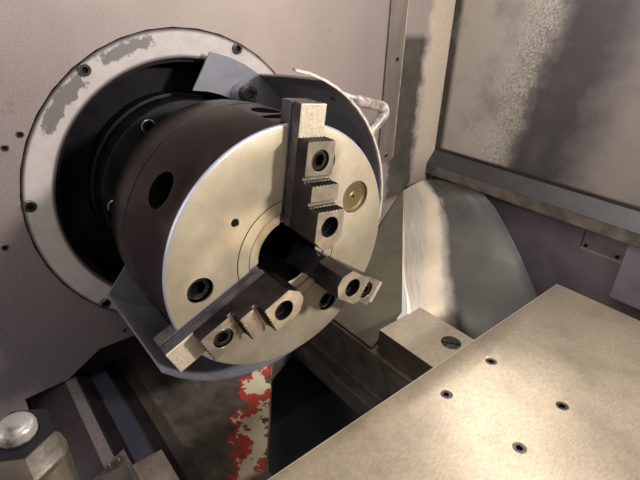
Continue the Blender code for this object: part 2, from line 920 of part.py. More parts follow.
# Chuck guard: a round band of sheet round the rear and underside of the chuck, cut away aslant at its
# upper end down to a strip along the rim, and welded to a flat ring sector that swings on a pivot bolt
guard_rear = 15 * mm
guard_front = 180 * mm
guard_room = 41 * mm
guard_radius = chuck_radius + guard_room
guard_lap = 4 * mm
guard_inner = chuck_radius - guard_lap
guard_from = -140
guard_to = 78
guard_steps = 26
guard_sheet = 2.5 * mm
cut_from = 53
cut_to = 65
rim_strip = 5 * mm
band_turns = [guard_from + (cut_from - guard_from) * i / guard_steps for i in range(guard_steps + 1)]
band_turns += [(cut_from + cut_to) / 2, cut_to, (cut_to + guard_to) / 2, guard_to]
band_form = bmesh.new()
band_rows = []
for turn in band_turns:
    share = min(max((turn - cut_from) / (cut_to - cut_from), 0), 1)
    rear = guard_rear + (guard_front - rim_strip - guard_rear) * share
    across = Vector((0, math.cos(math.radians(turn)), math.sin(math.radians(turn))))
    row = []
    for along, radius in (
        (rear, guard_radius),
        (guard_front, guard_radius),
        (guard_front, guard_radius - guard_sheet),
        (rear, guard_radius - guard_sheet),
    ):
        row.append(band_form.verts.new(Vector((along, 0, 0)) + across * radius))
    band_rows.append(row)
for row, after in zip(band_rows, band_rows[1:]):
    for i, vert in enumerate(row):
        band_form.faces.new((vert, row[i - 1], after[i - 1], after[i]))
band_form.faces.new(band_rows[0])
band_form.faces.new(band_rows[-1])
bmesh.ops.recalc_face_normals(band_form, faces=band_form.faces)
band_mesh = bpy.data.meshes.new("chuck_guard")
band_form.to_mesh(band_mesh)
band_form.free()
guard = show("chuck_guard", band_mesh, blue_grey_paint)
flange_lead = 8
sector_outline = arc((0, 0), guard_radius - guard_sheet / 2, guard_from, guard_to, guard_steps)
sector_outline += arc((0, 0), guard_inner, guard_to + flange_lead, guard_from - flange_lead / 2, guard_steps)
sector = plate("guard_sector", sector_outline, (guard_rear, guard_rear + guard_sheet), None, face_x)
join(guard, sector)
pivot_circle = 134 * mm
pivot_angle = math.radians(57)
pivot_y = pivot_circle * math.cos(pivot_angle)
pivot_z = pivot_circle * math.sin(pivot_angle)
pivot_bore = 8.3 * mm
guard_boss_radius = 15 * mm
guard_boss_front = 27 * mm
boss = disc("guard_boss", (guard_rear + guard_sheet / 2, guard_boss_front), guard_boss_radius,
            place=(0, pivot_y, pivot_z), steps=small_steps)
join(guard, boss)
pivot_hole = disc("pivot_hole", (guard_rear - overrun, guard_boss_front + overrun), pivot_bore,
                  place=(0, pivot_y, pivot_z), steps=small_steps)
cut(guard, pivot_hole)
guard_pivot = axis_empty("guard_pivot", (0, pivot_y, pivot_z), (0, 0, 0), nose)

# Guard pivot bolt: shouldered socket bolt that stands in the headstock's recess rim and carries the guard
bolt_head_radius = 11 * mm
bolt_head_length = 10 * mm
bolt_shank = 8 * mm
bolt_collar = 14 * mm
socket_radius = 5 * mm
socket_depth = 6 * mm
pivot_bolt = turned(
    "guard_pivot_bolt",
    [
        (guard_boss_front + seat_gap + bolt_head_length - socket_depth, 0),
        (guard_boss_front + seat_gap + bolt_head_length - socket_depth, socket_radius),
        (guard_boss_front + seat_gap + bolt_head_length, socket_radius),
        (guard_boss_front + seat_gap + bolt_head_length, bolt_head_radius),
        (guard_boss_front + seat_gap, bolt_head_radius),
        (guard_boss_front + seat_gap, bolt_shank),
        (guard_rear - seat_gap, bolt_shank),
        (guard_rear - seat_gap, bolt_collar),
        (head_face - recess_depth + seat_gap, bolt_collar),
        (head_face - recess_depth + seat_gap, 0),
    ],
    black_steel,
    (0, pivot_y, pivot_z),
    steps=small_steps,
)

# Guard handle: painted tube bent to a U, its two ends welded flat against the band
handle_x = 150 * mm
handle_tube = 6.5 * mm
handle_reach = 57 * mm
handle_lean = 27.6
handle_low = 24.2
handle_high = 49.4
handle_bend = 24 * mm
handle_sink = 20 * mm
trim_steps = 96


def handle_path():
    """From inside the band outwards, round one bend and back into the band."""
    foot = guard_radius + seat_gap
    high, low, lean = [
        Vector((math.cos(math.radians(turn)), math.sin(math.radians(turn))))
        for turn in (handle_high, handle_low, handle_lean)
    ]
    corner = lean * (foot + handle_reach)
    ends = []
    for side in (high, low):
        inward = (side * foot - corner).normalized()
        ends.append((side * foot + inward * handle_sink, corner + inward * handle_bend))
    (start, enter), (stop, leave) = ends
    points = [start]
    for i in range(7):
        share = i / 6
        points.append(enter.lerp(corner, share).lerp(corner.lerp(leave, share), share))
    points.append(stop)
    return [(handle_x, point.x, point.y) for point in points]


guard_handle = tube("guard_handle", handle_path(), handle_tube, blue_grey_paint)
trim = disc("handle_trim", (handle_x - overrun, handle_x + overrun), guard_radius + seat_gap,
            steps=trim_steps)
cut(guard_handle, trim)
carry(guard_pivot, guard, guard_handle)

# Headstock wall: sheet between the headstock compartment and the work space, cut out for the cover ring,
# above the bed and along the way cover
ring_clear = 1.6 * mm
wall_hole = ring_outer + ring_clear
wall_notch_front = -190 * mm
wall_notch_step = -146 * mm
wall_notch_z = -190 * mm
wall_foot = -330 * mm
wall_rear_z = -101 * mm
cover_top_y = 417 * mm
cover_bend_y = 360 * mm
cover_bend_z = -164 * mm
cover_low_y = 158 * mm
cover_lift = 4 * mm
cover_low_z = way_z + cover_lift
wall_outline = [
    (front_y + seat_gap, wall_foot),
    (front_outer - seat_gap - sheet, wall_foot),
    (front_outer - seat_gap - sheet, way_z),
    (wall_notch_front, way_z + sheet),
    (wall_notch_step, wall_notch_z),
    (cover_low_y, wall_notch_z),
    (cover_low_y, cover_low_z + sheet),
    (cover_bend_y, cover_bend_z + sheet),
    (cover_top_y, wall_rear_z),
    (rear_depth - seat_gap, wall_rear_z),
    (rear_depth - seat_gap, top_height - sheet),
    (front_y + seat_gap, top_height - sheet),
]
head_wall = plate(
    "headstock_wall",
    wall_outline,
    (-sheet, 0),
    grey_paint,
    face_x,
    [circle((0, 0), wall_hole, fine_steps)],
)

# Wall cover strip: flat strip with round lower corners, screwed on the wall behind the chuck
strip_front = 341 * mm
strip_rear = 379 * mm
strip_foot = -35 * mm
strip_corner = 12 * mm
strip_outline = [
    *arc((strip_front + strip_corner, strip_foot + strip_corner), strip_corner, 180, 270, 4),
    *arc((strip_rear - strip_corner, strip_foot + strip_corner), strip_corner, 270, 360, 4),
    (strip_rear, top_height - overhang),
    (strip_front, top_height - overhang),
]
cover_strip = plate("wall_cover_strip", strip_outline, (seat_gap, seat_gap + sheet), grey_paint, face_x)

# Rear panel: tall sheet behind the work space with a folded drip lip along its foot
lip_top = -37 * mm
lip_mid = -60 * mm
lip_foot = -79 * mm
lip_reach = 20 * mm
rear_path = [
    (rear_depth + overhang, top_height),
    (rear_depth, top_height),
    (rear_depth, lip_top),
    (rear_depth - lip_reach, lip_mid),
    (rear_depth - lip_reach, lip_foot),
]
panel_right = work_length - seat_gap
rear_panel = folded("rear_panel", rear_path, (seat_gap, panel_right), grey_paint, sheet, -1)

# Lower rear panel: stands behind the drip lip, closes the chip space, and has a hatch and a switch box
lower_rear_y = rear_depth + sheet + seat_gap
lower_rear_top = lip_top + overhang
rear_foot_height = 300 * mm
lower_rear_foot = floor_z + rear_foot_height
hatch_left = 299 * mm
hatch_right = 361 * mm
hatch_top = -68 * mm
hatch_foot = -121 * mm
hatch_lap = 8 * mm
lower_rear = plate(
    "rear_lower_panel",
    [
        (seat_gap, lower_rear_foot),
        (panel_right, lower_rear_foot),
        (panel_right, lower_rear_top),
        (seat_gap, lower_rear_top),
    ],
    (lower_rear_y, lower_rear_y + sheet),
    stainless_sheet,
    face_y,
    [
        [
            (hatch_left + hatch_lap, hatch_foot + hatch_lap),
            (hatch_right - hatch_lap, hatch_foot + hatch_lap),
            (hatch_right - hatch_lap, hatch_top - hatch_lap),
            (hatch_left + hatch_lap, hatch_top - hatch_lap),
        ]
    ],
)
switch_left = hatch_right + sheet
switch_length = 110 * mm
switch_height = 92 * mm
switch_reach = 21 * mm
switch_edge = 2 * mm
switch_top = lip_foot - seat_gap
switch_box = box(
    "switch_box",
    (switch_left, lower_rear_y - switch_reach, switch_top - switch_height),
    (switch_left + switch_length, lower_rear_y + sheet / 2, switch_top),
    None,
    switch_edge,
)
join(lower_rear, switch_box)
hatch = box(
    "service_hatch",
    (hatch_left, lower_rear_y - seat_gap - sheet / 2, hatch_foot),
    (hatch_right, lower_rear_y - seat_gap, hatch_top - seat_gap),
    stainless_sheet,
)

# Way cover: bent sheet from the wall's slanting edge down over the rear guide, left of the saddle
fold_bend_x = 61.6 * mm
fold_low_x = 178 * mm
cover_lower_slope = (cover_bend_z - cover_low_z) / (cover_bend_y - cover_low_y)


def loft(name, rows, material, thickness, side):
    """A sheet through rows of points with the same count, as quads with a Solidify."""
    frame = bmesh.new()
    verts = [[frame.verts.new(point) for point in row] for row in rows]
    for row, after in zip(verts, verts[1:]):
        for i in range(len(row) - 1):
            frame.faces.new((row[i], row[i + 1], after[i + 1], after[i]))
    mesh = bpy.data.meshes.new(name)
    frame.to_mesh(mesh)
    frame.free()
    return thicken(show(name, mesh, material), thickness, side)


fold_low_y = 234 * mm
fold_low_z = cover_bend_z - cover_lower_slope * (cover_bend_y - fold_low_y)
cover_rows = [
    [(seat_gap, cover_top_y, wall_rear_z), (seat_gap + sheet, cover_top_y, wall_rear_z)],
    [(seat_gap, cover_bend_y, cover_bend_z), (fold_bend_x, cover_bend_y, cover_bend_z)],
    [
        (seat_gap, fold_low_y, fold_low_z),
        (fold_low_x, fold_low_y, fold_low_z),
    ],
    [(seat_gap, cover_low_y, cover_low_z), (fold_low_x + overhang / 2, cover_low_y, cover_low_z)],
]
way_cover = loft("way_cover", cover_rows, stainless_sheet, sheet / 2, 1)

# Chute: bent sheet that carries the chips from the way cover's edge down behind the bed
chute_gap = 1 * mm
chute_side = rear_depth - lip_reach - chute_gap
chute_run = 430 * mm
chute_fall = 432 * mm
chute_lap = 13 * mm
chute_turn_drop = 16 * mm
chute_tail_drop = 104 * mm
chute_tail_shift = 5 * mm
chute_far_shares = ((0.14, 0.19), (0.314, 0.194), (0.465, 0.324), (0.6, 0.49), (0.79, 0.734), (1, 1))
chute_edge = [
    (seat_gap, cover_top_y + chute_gap, wall_rear_z - sheet),
    (fold_bend_x / 2 + chute_gap, (cover_top_y + cover_bend_y) / 2, (wall_rear_z + cover_bend_z) / 2 - sheet),
    (fold_bend_x + chute_gap, cover_bend_y, cover_bend_z - sheet),
    (
        (fold_bend_x + fold_low_x) / 2 + chute_gap,
        (cover_bend_y + fold_low_y) / 2,
        (cover_bend_z + fold_low_z) / 2 - sheet,
    ),
    (fold_low_x + chute_gap, fold_low_y + chute_lap, fold_low_z - chute_turn_drop),
    (fold_low_x + chute_gap, fold_low_y + chute_lap + chute_tail_shift, fold_low_z - chute_tail_drop),
]
chute_far = [(chute_run * along, chute_side, -chute_fall * down) for along, down in chute_far_shares]
chute_steps = 5
chute_bulge = 14 * mm
chute_rows = []
for near, far in zip(chute_edge, chute_far):
    row = []
    for i in range(chute_steps + 1):
        share = i / chute_steps
        point = Vector(near).lerp(Vector(far), share)
        point.z += chute_bulge * math.sin(math.pi * share)
        row.append(point)
    chute_rows.append(row)
chute = loft("chute", chute_rows, stainless_sheet, sheet / 2, 1)

# Right end panel of the work space
right_panel = plate(
    "right_end_panel",
    [
        (front_y + seat_gap, wall_foot),
        (rear_depth + overhang, wall_foot),
        (rear_depth + overhang, top_height),
        (front_y + seat_gap, top_height),
    ],
    (work_length, work_length + sheet),
    grey_paint,
    face_x,
)
rim = folded(
    "right_rim",
    [(front_y + seat_gap, top_height - sheet), (rear_depth + overhang, top_height - sheet)],
    (work_length + sheet / 2, work_length + overhang),
    None,
    sheet,
    1,
)
join(right_panel, rim)

# Front panel: sheet with the doorway, below the top rail, and the fixed part that the door slides over
door_left = 40 * mm
door_right = 660 * mm
door_foot = -240 * mm
top_rail = 100 * mm
door_top = top_height - top_rail
apron_top = wall_foot
front_panel = plate(
    "front_panel",
    rounded((0, apron_top), (work_length + sheet, top_height), sheet, 1),
    (front_y - sheet, front_y),
    cream_paint,
    face_y,
    [rounded((door_left, door_foot), (door_right, door_top), overhang, 3)],
)

# Front apron: lower skin of the stand, with a kick space at the floor
kick_space = 110 * mm
apron_foot = floor_z + kick_space
apron_path = [
    (front_y - sheet, apron_top - seat_gap),
    (front_y - sheet, apron_foot + overhang),
    (front_y + overhang, apron_foot),
    (base_front - seat_gap, apron_foot),
]
apron = folded("front_apron", apron_path, (-head_length, work_length + sheet), grey_paint, sheet, -1)

# Headstock housing: sheet shell round the headstock and drive, open towards the wall
housing_top = top_height
housing_foot = apron_top
housing_rear = rear_depth + overhang
housing_edge = 5 * mm
housing = box(
    "headstock_housing",
    (-head_length, front_y - sheet, housing_foot - overrun),
    (overrun, housing_rear, housing_top),
    cream_paint,
    housing_edge,
)
housing_mouth = box(
    "housing_mouth",
    (-sheet - seat_gap, front_y - overrun, housing_foot - 2 * overrun),
    (2 * overrun, housing_rear + overrun, housing_top + overrun),
)
housing_under = box(
    "housing_under",
    (-head_length - overrun, front_y - overrun, housing_foot - 2 * overrun),
    (overrun, housing_rear + overrun, housing_foot),
)
housing_room = box(
    "housing_room",
    (-head_length + sheet, front_y, housing_foot - 2 * overrun),
    (2 * overrun, housing_rear - sheet, housing_top - sheet),
)
cut(housing, housing_room, housing_mouth, housing_under)
vent_foot = -180 * mm
vent_top = 300 * mm
vent_front = -260 * mm
vent_rear = 400 * mm
end_opening = box(
    "end_opening",
    (-head_length - overrun, vent_front, vent_foot),
    (-head_length + overrun, vent_rear, vent_top),
)
cut(housing, end_opening)

# End cover: screwed plate with louvres over the belt drive
louvre_count = 7
louvre_height = 14 * mm
louvre_pitch = 52 * mm
cover_lap = 25 * mm
end_cover = box(
    "end_cover",
    (-head_length - seat_gap - sheet, vent_front - cover_lap, vent_foot - cover_lap),
    (-head_length - seat_gap, vent_rear + cover_lap, vent_top + cover_lap),
    cream_paint,
)
louvre_first = (vent_foot + vent_top) / 2 - louvre_pitch * (louvre_count - 1) / 2
for i in range(louvre_count):
    slot_z = louvre_first + louvre_pitch * i
    slot = box(
        f"louvre_slot_{i}",
        (-head_length - overrun, vent_front + overhang, slot_z),
        (-head_length + overrun, vent_rear - overhang, slot_z + louvre_height),
    )
    cut(end_cover, slot)
    hood_path = [
        (-head_length - seat_gap - sheet / 2, slot_z + louvre_height * 1.6),
        (-head_length - seat_gap - sheet - louvre_reach, slot_z + louvre_height / 3),
    ]
    hood_span = (vent_front + overhang / 2, vent_rear - overhang / 2)
    hood = folded(f"louvre_hood_{i}", hood_path, hood_span, None, sheet / 2, 1, "y")
    join(end_cover, hood)

# Drive: main motor behind the headstock, two pulleys and a flat belt at the left end
motor_y = 362 * mm
motor_z = -236 * mm
motor_radius = 92 * mm
motor_gap = 10 * mm
motor_length = 320 * mm
motor_rear = head_left + motor_gap
motor_front = motor_rear + motor_length
motor_fins = 4
motor_steps = 20
fin_height = 8 * mm
motor_foot_y = rear_outer + seat_gap
shaft_small = 19 * mm
belt_inset = 6 * mm
belt_width = 44 * mm
belt_left = spindle_tail + belt_inset
belt_right = belt_left + belt_width
pulley_large = 105 * mm
pulley_small = 62 * mm
belt_thick = 5 * mm
belt_gap = 0.8 * mm
motor_profile = [(motor_front, 0), (motor_front, motor_radius * 0.8)]
fin_pitch = (motor_front - motor_rear) / (motor_fins + 1)
for i in range(motor_fins):
    fin_x = motor_front - fin_pitch * (i + 0.5)
    motor_profile += [
        (fin_x, motor_radius - fin_height),
        (fin_x, motor_radius),
        (fin_x - fin_pitch / 2, motor_radius),
        (fin_x - fin_pitch / 2, motor_radius - fin_height),
    ]
motor_profile += [(motor_rear, motor_radius - fin_height), (motor_rear, 0)]
motor = turned("main_motor", motor_profile, blue_grey_paint, (0, motor_y, motor_z),
               steps=motor_steps)
motor_foot = box(
    "motor_foot",
    (motor_rear + fin_pitch, motor_foot_y, motor_z - motor_radius / 2),
    (motor_front - fin_pitch, motor_y - motor_radius / 2, motor_z + motor_radius / 4),
)
join(motor, motor_foot)
motor_pulley = turned(
    "motor_pulley",
    [
        (motor_rear - seat_gap, 0),
        (motor_rear - seat_gap, shaft_small),
        (belt_right + sheet, shaft_small),
        (belt_right + sheet, pulley_small),
        (belt_left - sheet, pulley_small),
        (belt_left - sheet, 0),
    ],
    black_steel,
    (0, motor_y, motor_z),
)
spindle_pulley = ring(
    "spindle_pulley",
    (belt_left - sheet, belt_right + sheet),
    (shaft_radius + seat_gap, pulley_large),
    black_steel,
)


def belt_loop(extra):
    """The outline of a belt round both pulleys, extra away from their rims."""
    big = pulley_large + extra
    small = pulley_small + extra
    distance = math.hypot(motor_y, motor_z)
    heading = math.degrees(math.atan2(motor_z, motor_y))
    spread = math.degrees(math.acos((big - small) / distance))
    points = arc((0, 0), big, heading + spread, heading + 360 - spread, 22)
    points += arc((motor_y, motor_z), small, heading - spread, heading + spread, 12)
    return points


drive_belt = plate(
    "drive_belt",
    belt_loop(belt_gap + belt_thick),
    (belt_left, belt_right),
    black_rubber,
    face_x,
    [belt_loop(belt_gap)],
)

# Saddle: H-shaped casting that rides on both guides and carries the cross slide's box ways
saddle_left = 201 * mm
saddle_right = 741 * mm
bridge_left = 341 * mm
bridge_right = 641 * mm
wing_height = 40 * mm
wing_front = -262 * mm
wing_inner = -146 * mm
rear_wing_inner = 160 * mm
rear_wing_outer = 246 * mm
apron_drop = 100 * mm
apron_thick = 20 * mm
bridge_top = -150 * mm
channel_drop = 24 * mm
rail_width = 48 * mm
wing_top = way_z + wing_height
ride = way_z + seat_gap
front_wing_outline = [
    (wing_front, way_z - apron_drop),
    (wing_front + apron_thick, way_z - apron_drop),
    (wing_front + apron_thick, ride),
    (crest_rear + seat_gap / 2, ride),
    (flank_foot + seat_gap / 2, ride - flank_drop),
    (wing_inner, ride - flank_drop),
    (wing_inner, wing_top),
    (wing_front, wing_top),
]
saddle = plate("saddle", front_wing_outline, (saddle_left, saddle_right), cast_iron, face_x)
rear_wing = box("rear_wing", (saddle_left, rear_wing_inner, ride), (saddle_right, rear_wing_outer, wing_top))
bridge_outline = [
    (bridge_left, ride),
    (bridge_right, ride),
    (bridge_right, bridge_top),
    (bridge_right - rail_width, bridge_top),
    (bridge_right - rail_width, bridge_top - channel_drop),
    (bridge_left + rail_width, bridge_top - channel_drop),
    (bridge_left + rail_width, bridge_top),
    (bridge_left, bridge_top),
]
bridge_span = (wing_front + apron_thick / 2, rear_wing_outer - sheet)
bridge = plate("bridge", bridge_outline, bridge_span, None, face_y)
join(saddle, rear_wing, bridge)
plug_depth = 5 * mm
plug_x = 277.8 * mm
plug_y = 216.4 * mm
plug_radius = 13 * mm
plug_pocket = disc("plug_pocket", (wing_top - plug_depth, wing_top + overrun), plug_radius,
                   place=(plug_x, plug_y, 0), turn=along_z, steps=small_steps)
cut(saddle, plug_pocket)

# Way wiper: plate with round corners on the end of the saddle's front wing
wiper_thick = 7 * mm
wiper_drop = 8 * mm
wiper_reach = 4 * mm
wiper_corner = 12 * mm
wiper_top = wing_top - wiper_drop
wiper_inner = wing_inner + wiper_reach
wiper_outline = [
    (wiper_inner, ride - flank_drop),
    *arc((wiper_inner - wiper_corner, wiper_top - wiper_corner), wiper_corner, 0, 90, 4),
    *arc((wing_front + overhang, wiper_top - wiper_corner), wiper_corner, 90, 180, 4),
    (wing_front + overhang - wiper_corner, ride),
    (crest_rear + seat_gap / 2, ride),
    (flank_foot + seat_gap / 2, ride - flank_drop),
]
wiper = plate("front_way_wiper", wiper_outline,
              (saddle_left - seat_gap - wiper_thick, saddle_left - seat_gap), black_rubber, face_x)

# Bed screw: ball screw in front of the bed, in two bearing blocks, with its servo motor at the right
screw_y = -268 * mm
screw_drop = 145 * mm
screw_z = way_z - screw_drop
screw_radius = 16 * mm
screw_left = -60 * mm
screw_end = 20 * mm
screw_right = bed_right - screw_end
screw_lead = 2 * mm
block_half = 32 * mm
block_length = 50 * mm
block_start = -40 * mm
block_left = (block_start, block_start + block_length)
block_right = (bed_right - block_length, bed_right)
for name, span in (("left", block_left), ("right", block_right)):
    block = box(f"screw_block_{name}", (span[0], screw_y - block_half, screw_z - block_half),
                (span[1], front_outer + sheet, screw_z + block_half))
    join(bed, block)
screw_bore = running(screw_radius, small_steps)
block_bore = disc("block_bore", (screw_left - overrun, bed_right + overrun), screw_bore,
                  place=(0, screw_y, screw_z), steps=small_steps)
cut(bed, block_bore)
bed_screw = disc("bed_ball_screw", (screw_left, screw_right), screw_radius, ground_steel,
                 (0, screw_y, screw_z), steps=small_steps, chamfer=screw_lead)
nut_half = 30 * mm
nut_left = bridge_left + overhang
nut_right = bridge_right - overhang
screw_nut = box("nut_block", (nut_left, screw_y - nut_half, screw_z - nut_half),
                (nut_right, wing_front + apron_thick / 2 + nut_half / 2, way_z - apron_drop + sheet))
join(saddle, screw_nut)
nut_bore = disc("nut_bore", (nut_left - overrun, nut_right + overrun), screw_bore,
                place=(0, screw_y, screw_z), steps=small_steps)
cut(saddle, nut_bore)
servo_half = 45 * mm
servo_length = 60 * mm
servo_edge = 4 * mm
servo_left = bed_right + seat_gap
servo = box("bed_servo_motor", (servo_left, screw_y - servo_half, screw_z - servo_half),
            (servo_left + servo_length, screw_y + servo_half, screw_z + servo_half), black_plastic,
            servo_edge)

# Cross slide: casting on the saddle's box ways, under a ground top plate, with a pad for the tool post at its
# front end
slide_front = -330 * mm
slide_rear = 328 * mm
plate_thick = 6 * mm
plate_top = -100 * mm
plate_front = -186 * mm
plate_rear = 334 * mm
plate_edge = 1.2 * mm
pad_gap = 2 * mm
slide_inset = 4 * mm
cross_slide = box(
    "cross_slide",
    (bridge_left + slide_inset, slide_front, bridge_top + seat_gap),
    (bridge_right - slide_inset, slide_rear, plate_top - plate_thick - seat_gap),
    cast_iron,
)
cavity_wall = 60 * mm
slide_cavity = box(
    "slide_cavity",
    (bridge_left + rail_width, slide_front + cavity_wall, bridge_top - overrun),
    (bridge_right - rail_width, slide_rear - cavity_wall, bridge_top + channel_drop),
)
post_pad = box(
    "post_pad",
    (bridge_left + slide_inset, slide_front, plate_top - plate_thick - seat_gap - overrun / 2),
    (bridge_right - slide_inset, plate_front - pad_gap, plate_top),
)
join(cross_slide, post_pad)
cut(cross_slide, slide_cavity)
top_plate = box(
    "cross_slide_plate",
    (bridge_left, plate_front, plate_top - plate_thick),
    (bridge_right, plate_rear, plate_top),
    ground_steel,
    plate_edge,
)
plate_screw_left = 371.8 * mm
plate_screw_front = 64.3 * mm
plate_screw_along = 72.8 * mm
plate_screw_across = 71.9 * mm
plate_screw_x = (plate_screw_left, plate_screw_left + plate_screw_along)
plate_screw_y = (plate_screw_front, plate_screw_front + plate_screw_across)
plate_screw_radius = 5.5 * mm
plate_screw_depth = 4 * mm
for i, hole_x in enumerate(plate_screw_x):
    for j, hole_y in enumerate(plate_screw_y):
        hole = disc(f"plate_hole_{i}_{j}", (plate_top - plate_screw_depth, plate_top + overrun),
                    plate_screw_radius, place=(hole_x, hole_y, 0), turn=along_z, steps=small_steps)
        cut(top_plate, hole)

# Tool post: square block on the cross slide's pad, slotted on two sides for tool shanks, with a stud in its
# middle
post_x = 397.7 * mm
post_y = -238 * mm
post_half = 35 * mm
post_top = 18 * mm
post_edge = 1 * mm
tool_top = 0
shank = 25 * mm
tool_overhang = 3 * mm
tip_y = post_y + post_half + tool_overhang
tip_reach = 24.3 * mm
tip_x = post_x - post_half - tip_reach
tip_slant = 12.7 * mm
tool_tail = 8 * mm
stud_radius = 6 * mm
stud_lead = 1.5 * mm
nut_top = 95 * mm
nut_height = 24 * mm
stud_proud = 5 * mm
nut_half = 9.7 * mm
hub_radius = 12 * mm
tool_post = box(
    "tool_post",
    (post_x - post_half, post_y - post_half, plate_top + seat_gap),
    (post_x + post_half, post_y + post_half, post_top),
    black_steel,
    post_edge,
)
slot_inner = tip_y - shank - seat_gap
for name, near, far in (
    ("rear", slot_inner, post_y + post_half + overrun),
    ("front", post_y - post_half - overrun, 2 * post_y - slot_inner),
):
    tool_slot = box(
        f"tool_slot_{name}",
        (post_x - post_half - overrun, near, tool_top - shank - seat_gap),
        (post_x + post_half + overrun, far, tool_top + seat_gap),
    )
    cut(tool_post, tool_slot)
stud = disc("clamp_stud", (post_top - overrun / 2, nut_top + stud_proud), stud_radius,
            place=(post_x, post_y, 0), turn=along_z, steps=small_steps, chamfer=stud_lead)
join(tool_post, stud)

# Turning tool: square shank in the rear slot, with a slanted end towards the chuck
tool_outline = [
    (tip_x, tip_y),
    (tip_x + tip_slant, tip_y - shank),
    (post_x + post_half + tool_tail, tip_y - shank),
    (post_x + post_half + tool_tail, tip_y),
]
turning_tool = plate("turning_tool", tool_outline, (tool_top - shank, tool_top), hard_steel, face_z)

# Clamp nut: hexagon on a long hub that clamps the tool post
hex_points = arc((post_x, post_y), nut_half / math.cos(math.pi / 6), 0, 360, 6)[:-1]
clamp_nut = plate("clamp_nut", hex_points, (nut_top - nut_height, nut_top), hard_steel, face_z,
                  [circle((post_x, post_y), stud_radius + seat_gap)])
hub = ring("clamp_hub", (post_top + seat_gap, nut_top - nut_height / 2), (stud_radius + seat_gap, hub_radius),
           None, (post_x, post_y, 0), along_z, small_steps)
join(clamp_nut, hub)
post_swivel = axis_empty("tool_post_swivel", (post_x, post_y, plate_top), (0, 0, 0), nose)
carry(post_swivel, tool_post, turning_tool, clamp_nut)

# Tailstock: cast body on the guides with a quill, live centre and handwheel
tail_inset = 85 * mm
tail_length = 175 * mm
tail_right = work_length - tail_inset
tail_left = tail_right - tail_length
tail_wall = 90 * mm
quill_radius = 40 * mm
quill_reach = 60 * mm
quill_end = 30 * mm
quill_left = tail_left - quill_reach
quill_right = tail_right - quill_end
tail_foot_outline = [
    (crest_front - overhang, ride + sheet),
    (crest_rear + seat_gap / 2, ride + seat_gap / 2),
    (flank_foot + seat_gap / 2, ride - flank_drop),
    (flat_rear, ride - flank_drop),
    (flat_rear, ride + sheet),
    (rear_guide, ride),
    (rear_outer - overhang, ride),
    (rear_outer - overhang, ride + wing_height),
    (quill_radius * 2, -tail_wall),
    *arc((0, 0), tail_wall, -20, 200, 14),
    (-quill_radius * 2, -tail_wall),
    (crest_front - overhang, ride + wing_height),
]
tailstock = plate("tailstock", tail_foot_outline, (tail_left, tail_right), cream_paint, face_x)
tail_shaft = 14 * mm
quill_bore = disc("quill_bore", (tail_left - overrun, quill_right + overrun / 2), running(quill_radius))
shaft_bore = disc("shaft_bore", (quill_right, tail_right + overrun), running(tail_shaft))
cut(tailstock, quill_bore, shaft_bore)
centre_shank = 18 * mm
centre_collar = 28 * mm
centre_length = 60 * mm
quill = turned(
    "quill",
    [
        (quill_right, 0),
        (quill_right, quill_radius),
        (quill_left, quill_radius),
        (quill_left, centre_shank + seat_gap),
        (quill_left + centre_length, centre_shank + seat_gap),
        (quill_left + centre_length, 0),
    ],
    ground_steel,
)
centre_seat = quill_left - seat_gap
live_centre = turned(
    "live_centre",
    [
        (quill_left + centre_length - sheet, 0),
        (quill_left + centre_length - sheet, centre_shank),
        (centre_seat, centre_shank),
        (centre_seat, centre_collar),
        (centre_seat - centre_shank, centre_collar),
        (centre_seat - centre_shank - centre_collar, 0),
    ],
    ground_steel,
)
wheel_left = tail_right + seat_gap
wheel_hub = 24 * mm
wheel_radius = 95 * mm
wheel_rim = 11 * mm
wheel_width = 40 * mm
hand_wheel = turned(
    "tailstock_handwheel",
    [
        (wheel_left + wheel_width, 0),
        (wheel_left + wheel_width, wheel_hub),
        (wheel_left + wheel_width * 0.7, wheel_hub),
        (wheel_left + wheel_width * 0.7, wheel_radius - wheel_rim),
        (wheel_left + wheel_width, wheel_radius - wheel_rim / 2),
        (wheel_left + wheel_width * 0.8, wheel_radius),
        (wheel_left + wheel_width * 0.5, wheel_radius),
        (wheel_left + wheel_width * 0.4, wheel_radius - wheel_rim),
        (wheel_left + wheel_width * 0.5, wheel_hub),
        (wheel_left, wheel_hub),
        (wheel_left, tail_shaft),
        (quill_right + seat_gap, tail_shaft),
        (quill_right + seat_gap, 0),
    ],
    black_steel,
)

# Sliding door: folded frame with a window and a bow handle, hung on two rails in front of the panel
door_gap = 12 * mm
door_rear_y = front_y - sheet - door_gap
door_thick = 22 * mm
door_width = 660 * mm
door_end = 12 * mm
door_lap = 20 * mm
open_left = work_length - door_end - door_width
door_low = door_foot - door_lap
door_high = door_top + door_lap
window_side = 90 * mm
window_foot = 190 * mm
window_low = door_low + window_foot
window_high = door_high - window_side
window_left = open_left + window_side
window_right = open_left + door_width - window_side
door = plate(
    "sliding_door",
    rounded((open_left, door_low), (open_left + door_width, door_high), overhang / 2, 2),
    (door_rear_y - door_thick, door_rear_y),
    cream_paint,
    face_y,
    [rounded((window_left, window_low), (window_right, window_high), overhang, 3)],
)
pane_lap = 15 * mm
pane_thick = 6 * mm
pane_rebate = plate(
    "pane_rebate",
    rounded((window_left - pane_lap, window_low - pane_lap),
            (window_right + pane_lap, window_high + pane_lap), overhang, 3),
    (door_rear_y - pane_thick - seat_gap * 2, door_rear_y + overrun),
    None,
    face_y,
)
cut(door, pane_rebate)
pane_reach = pane_lap - seat_gap
pane = plate(
    "door_window",
    rounded((window_left - pane_reach, window_low - pane_reach),
            (window_right + pane_reach, window_high + pane_reach), overhang, 3),
    (door_rear_y - pane_thick - seat_gap, door_rear_y - seat_gap),
    clear_plastic,
    face_y,
)
handle_stand = 34 * mm
handle_half = 90 * mm
handle_bar = 9 * mm
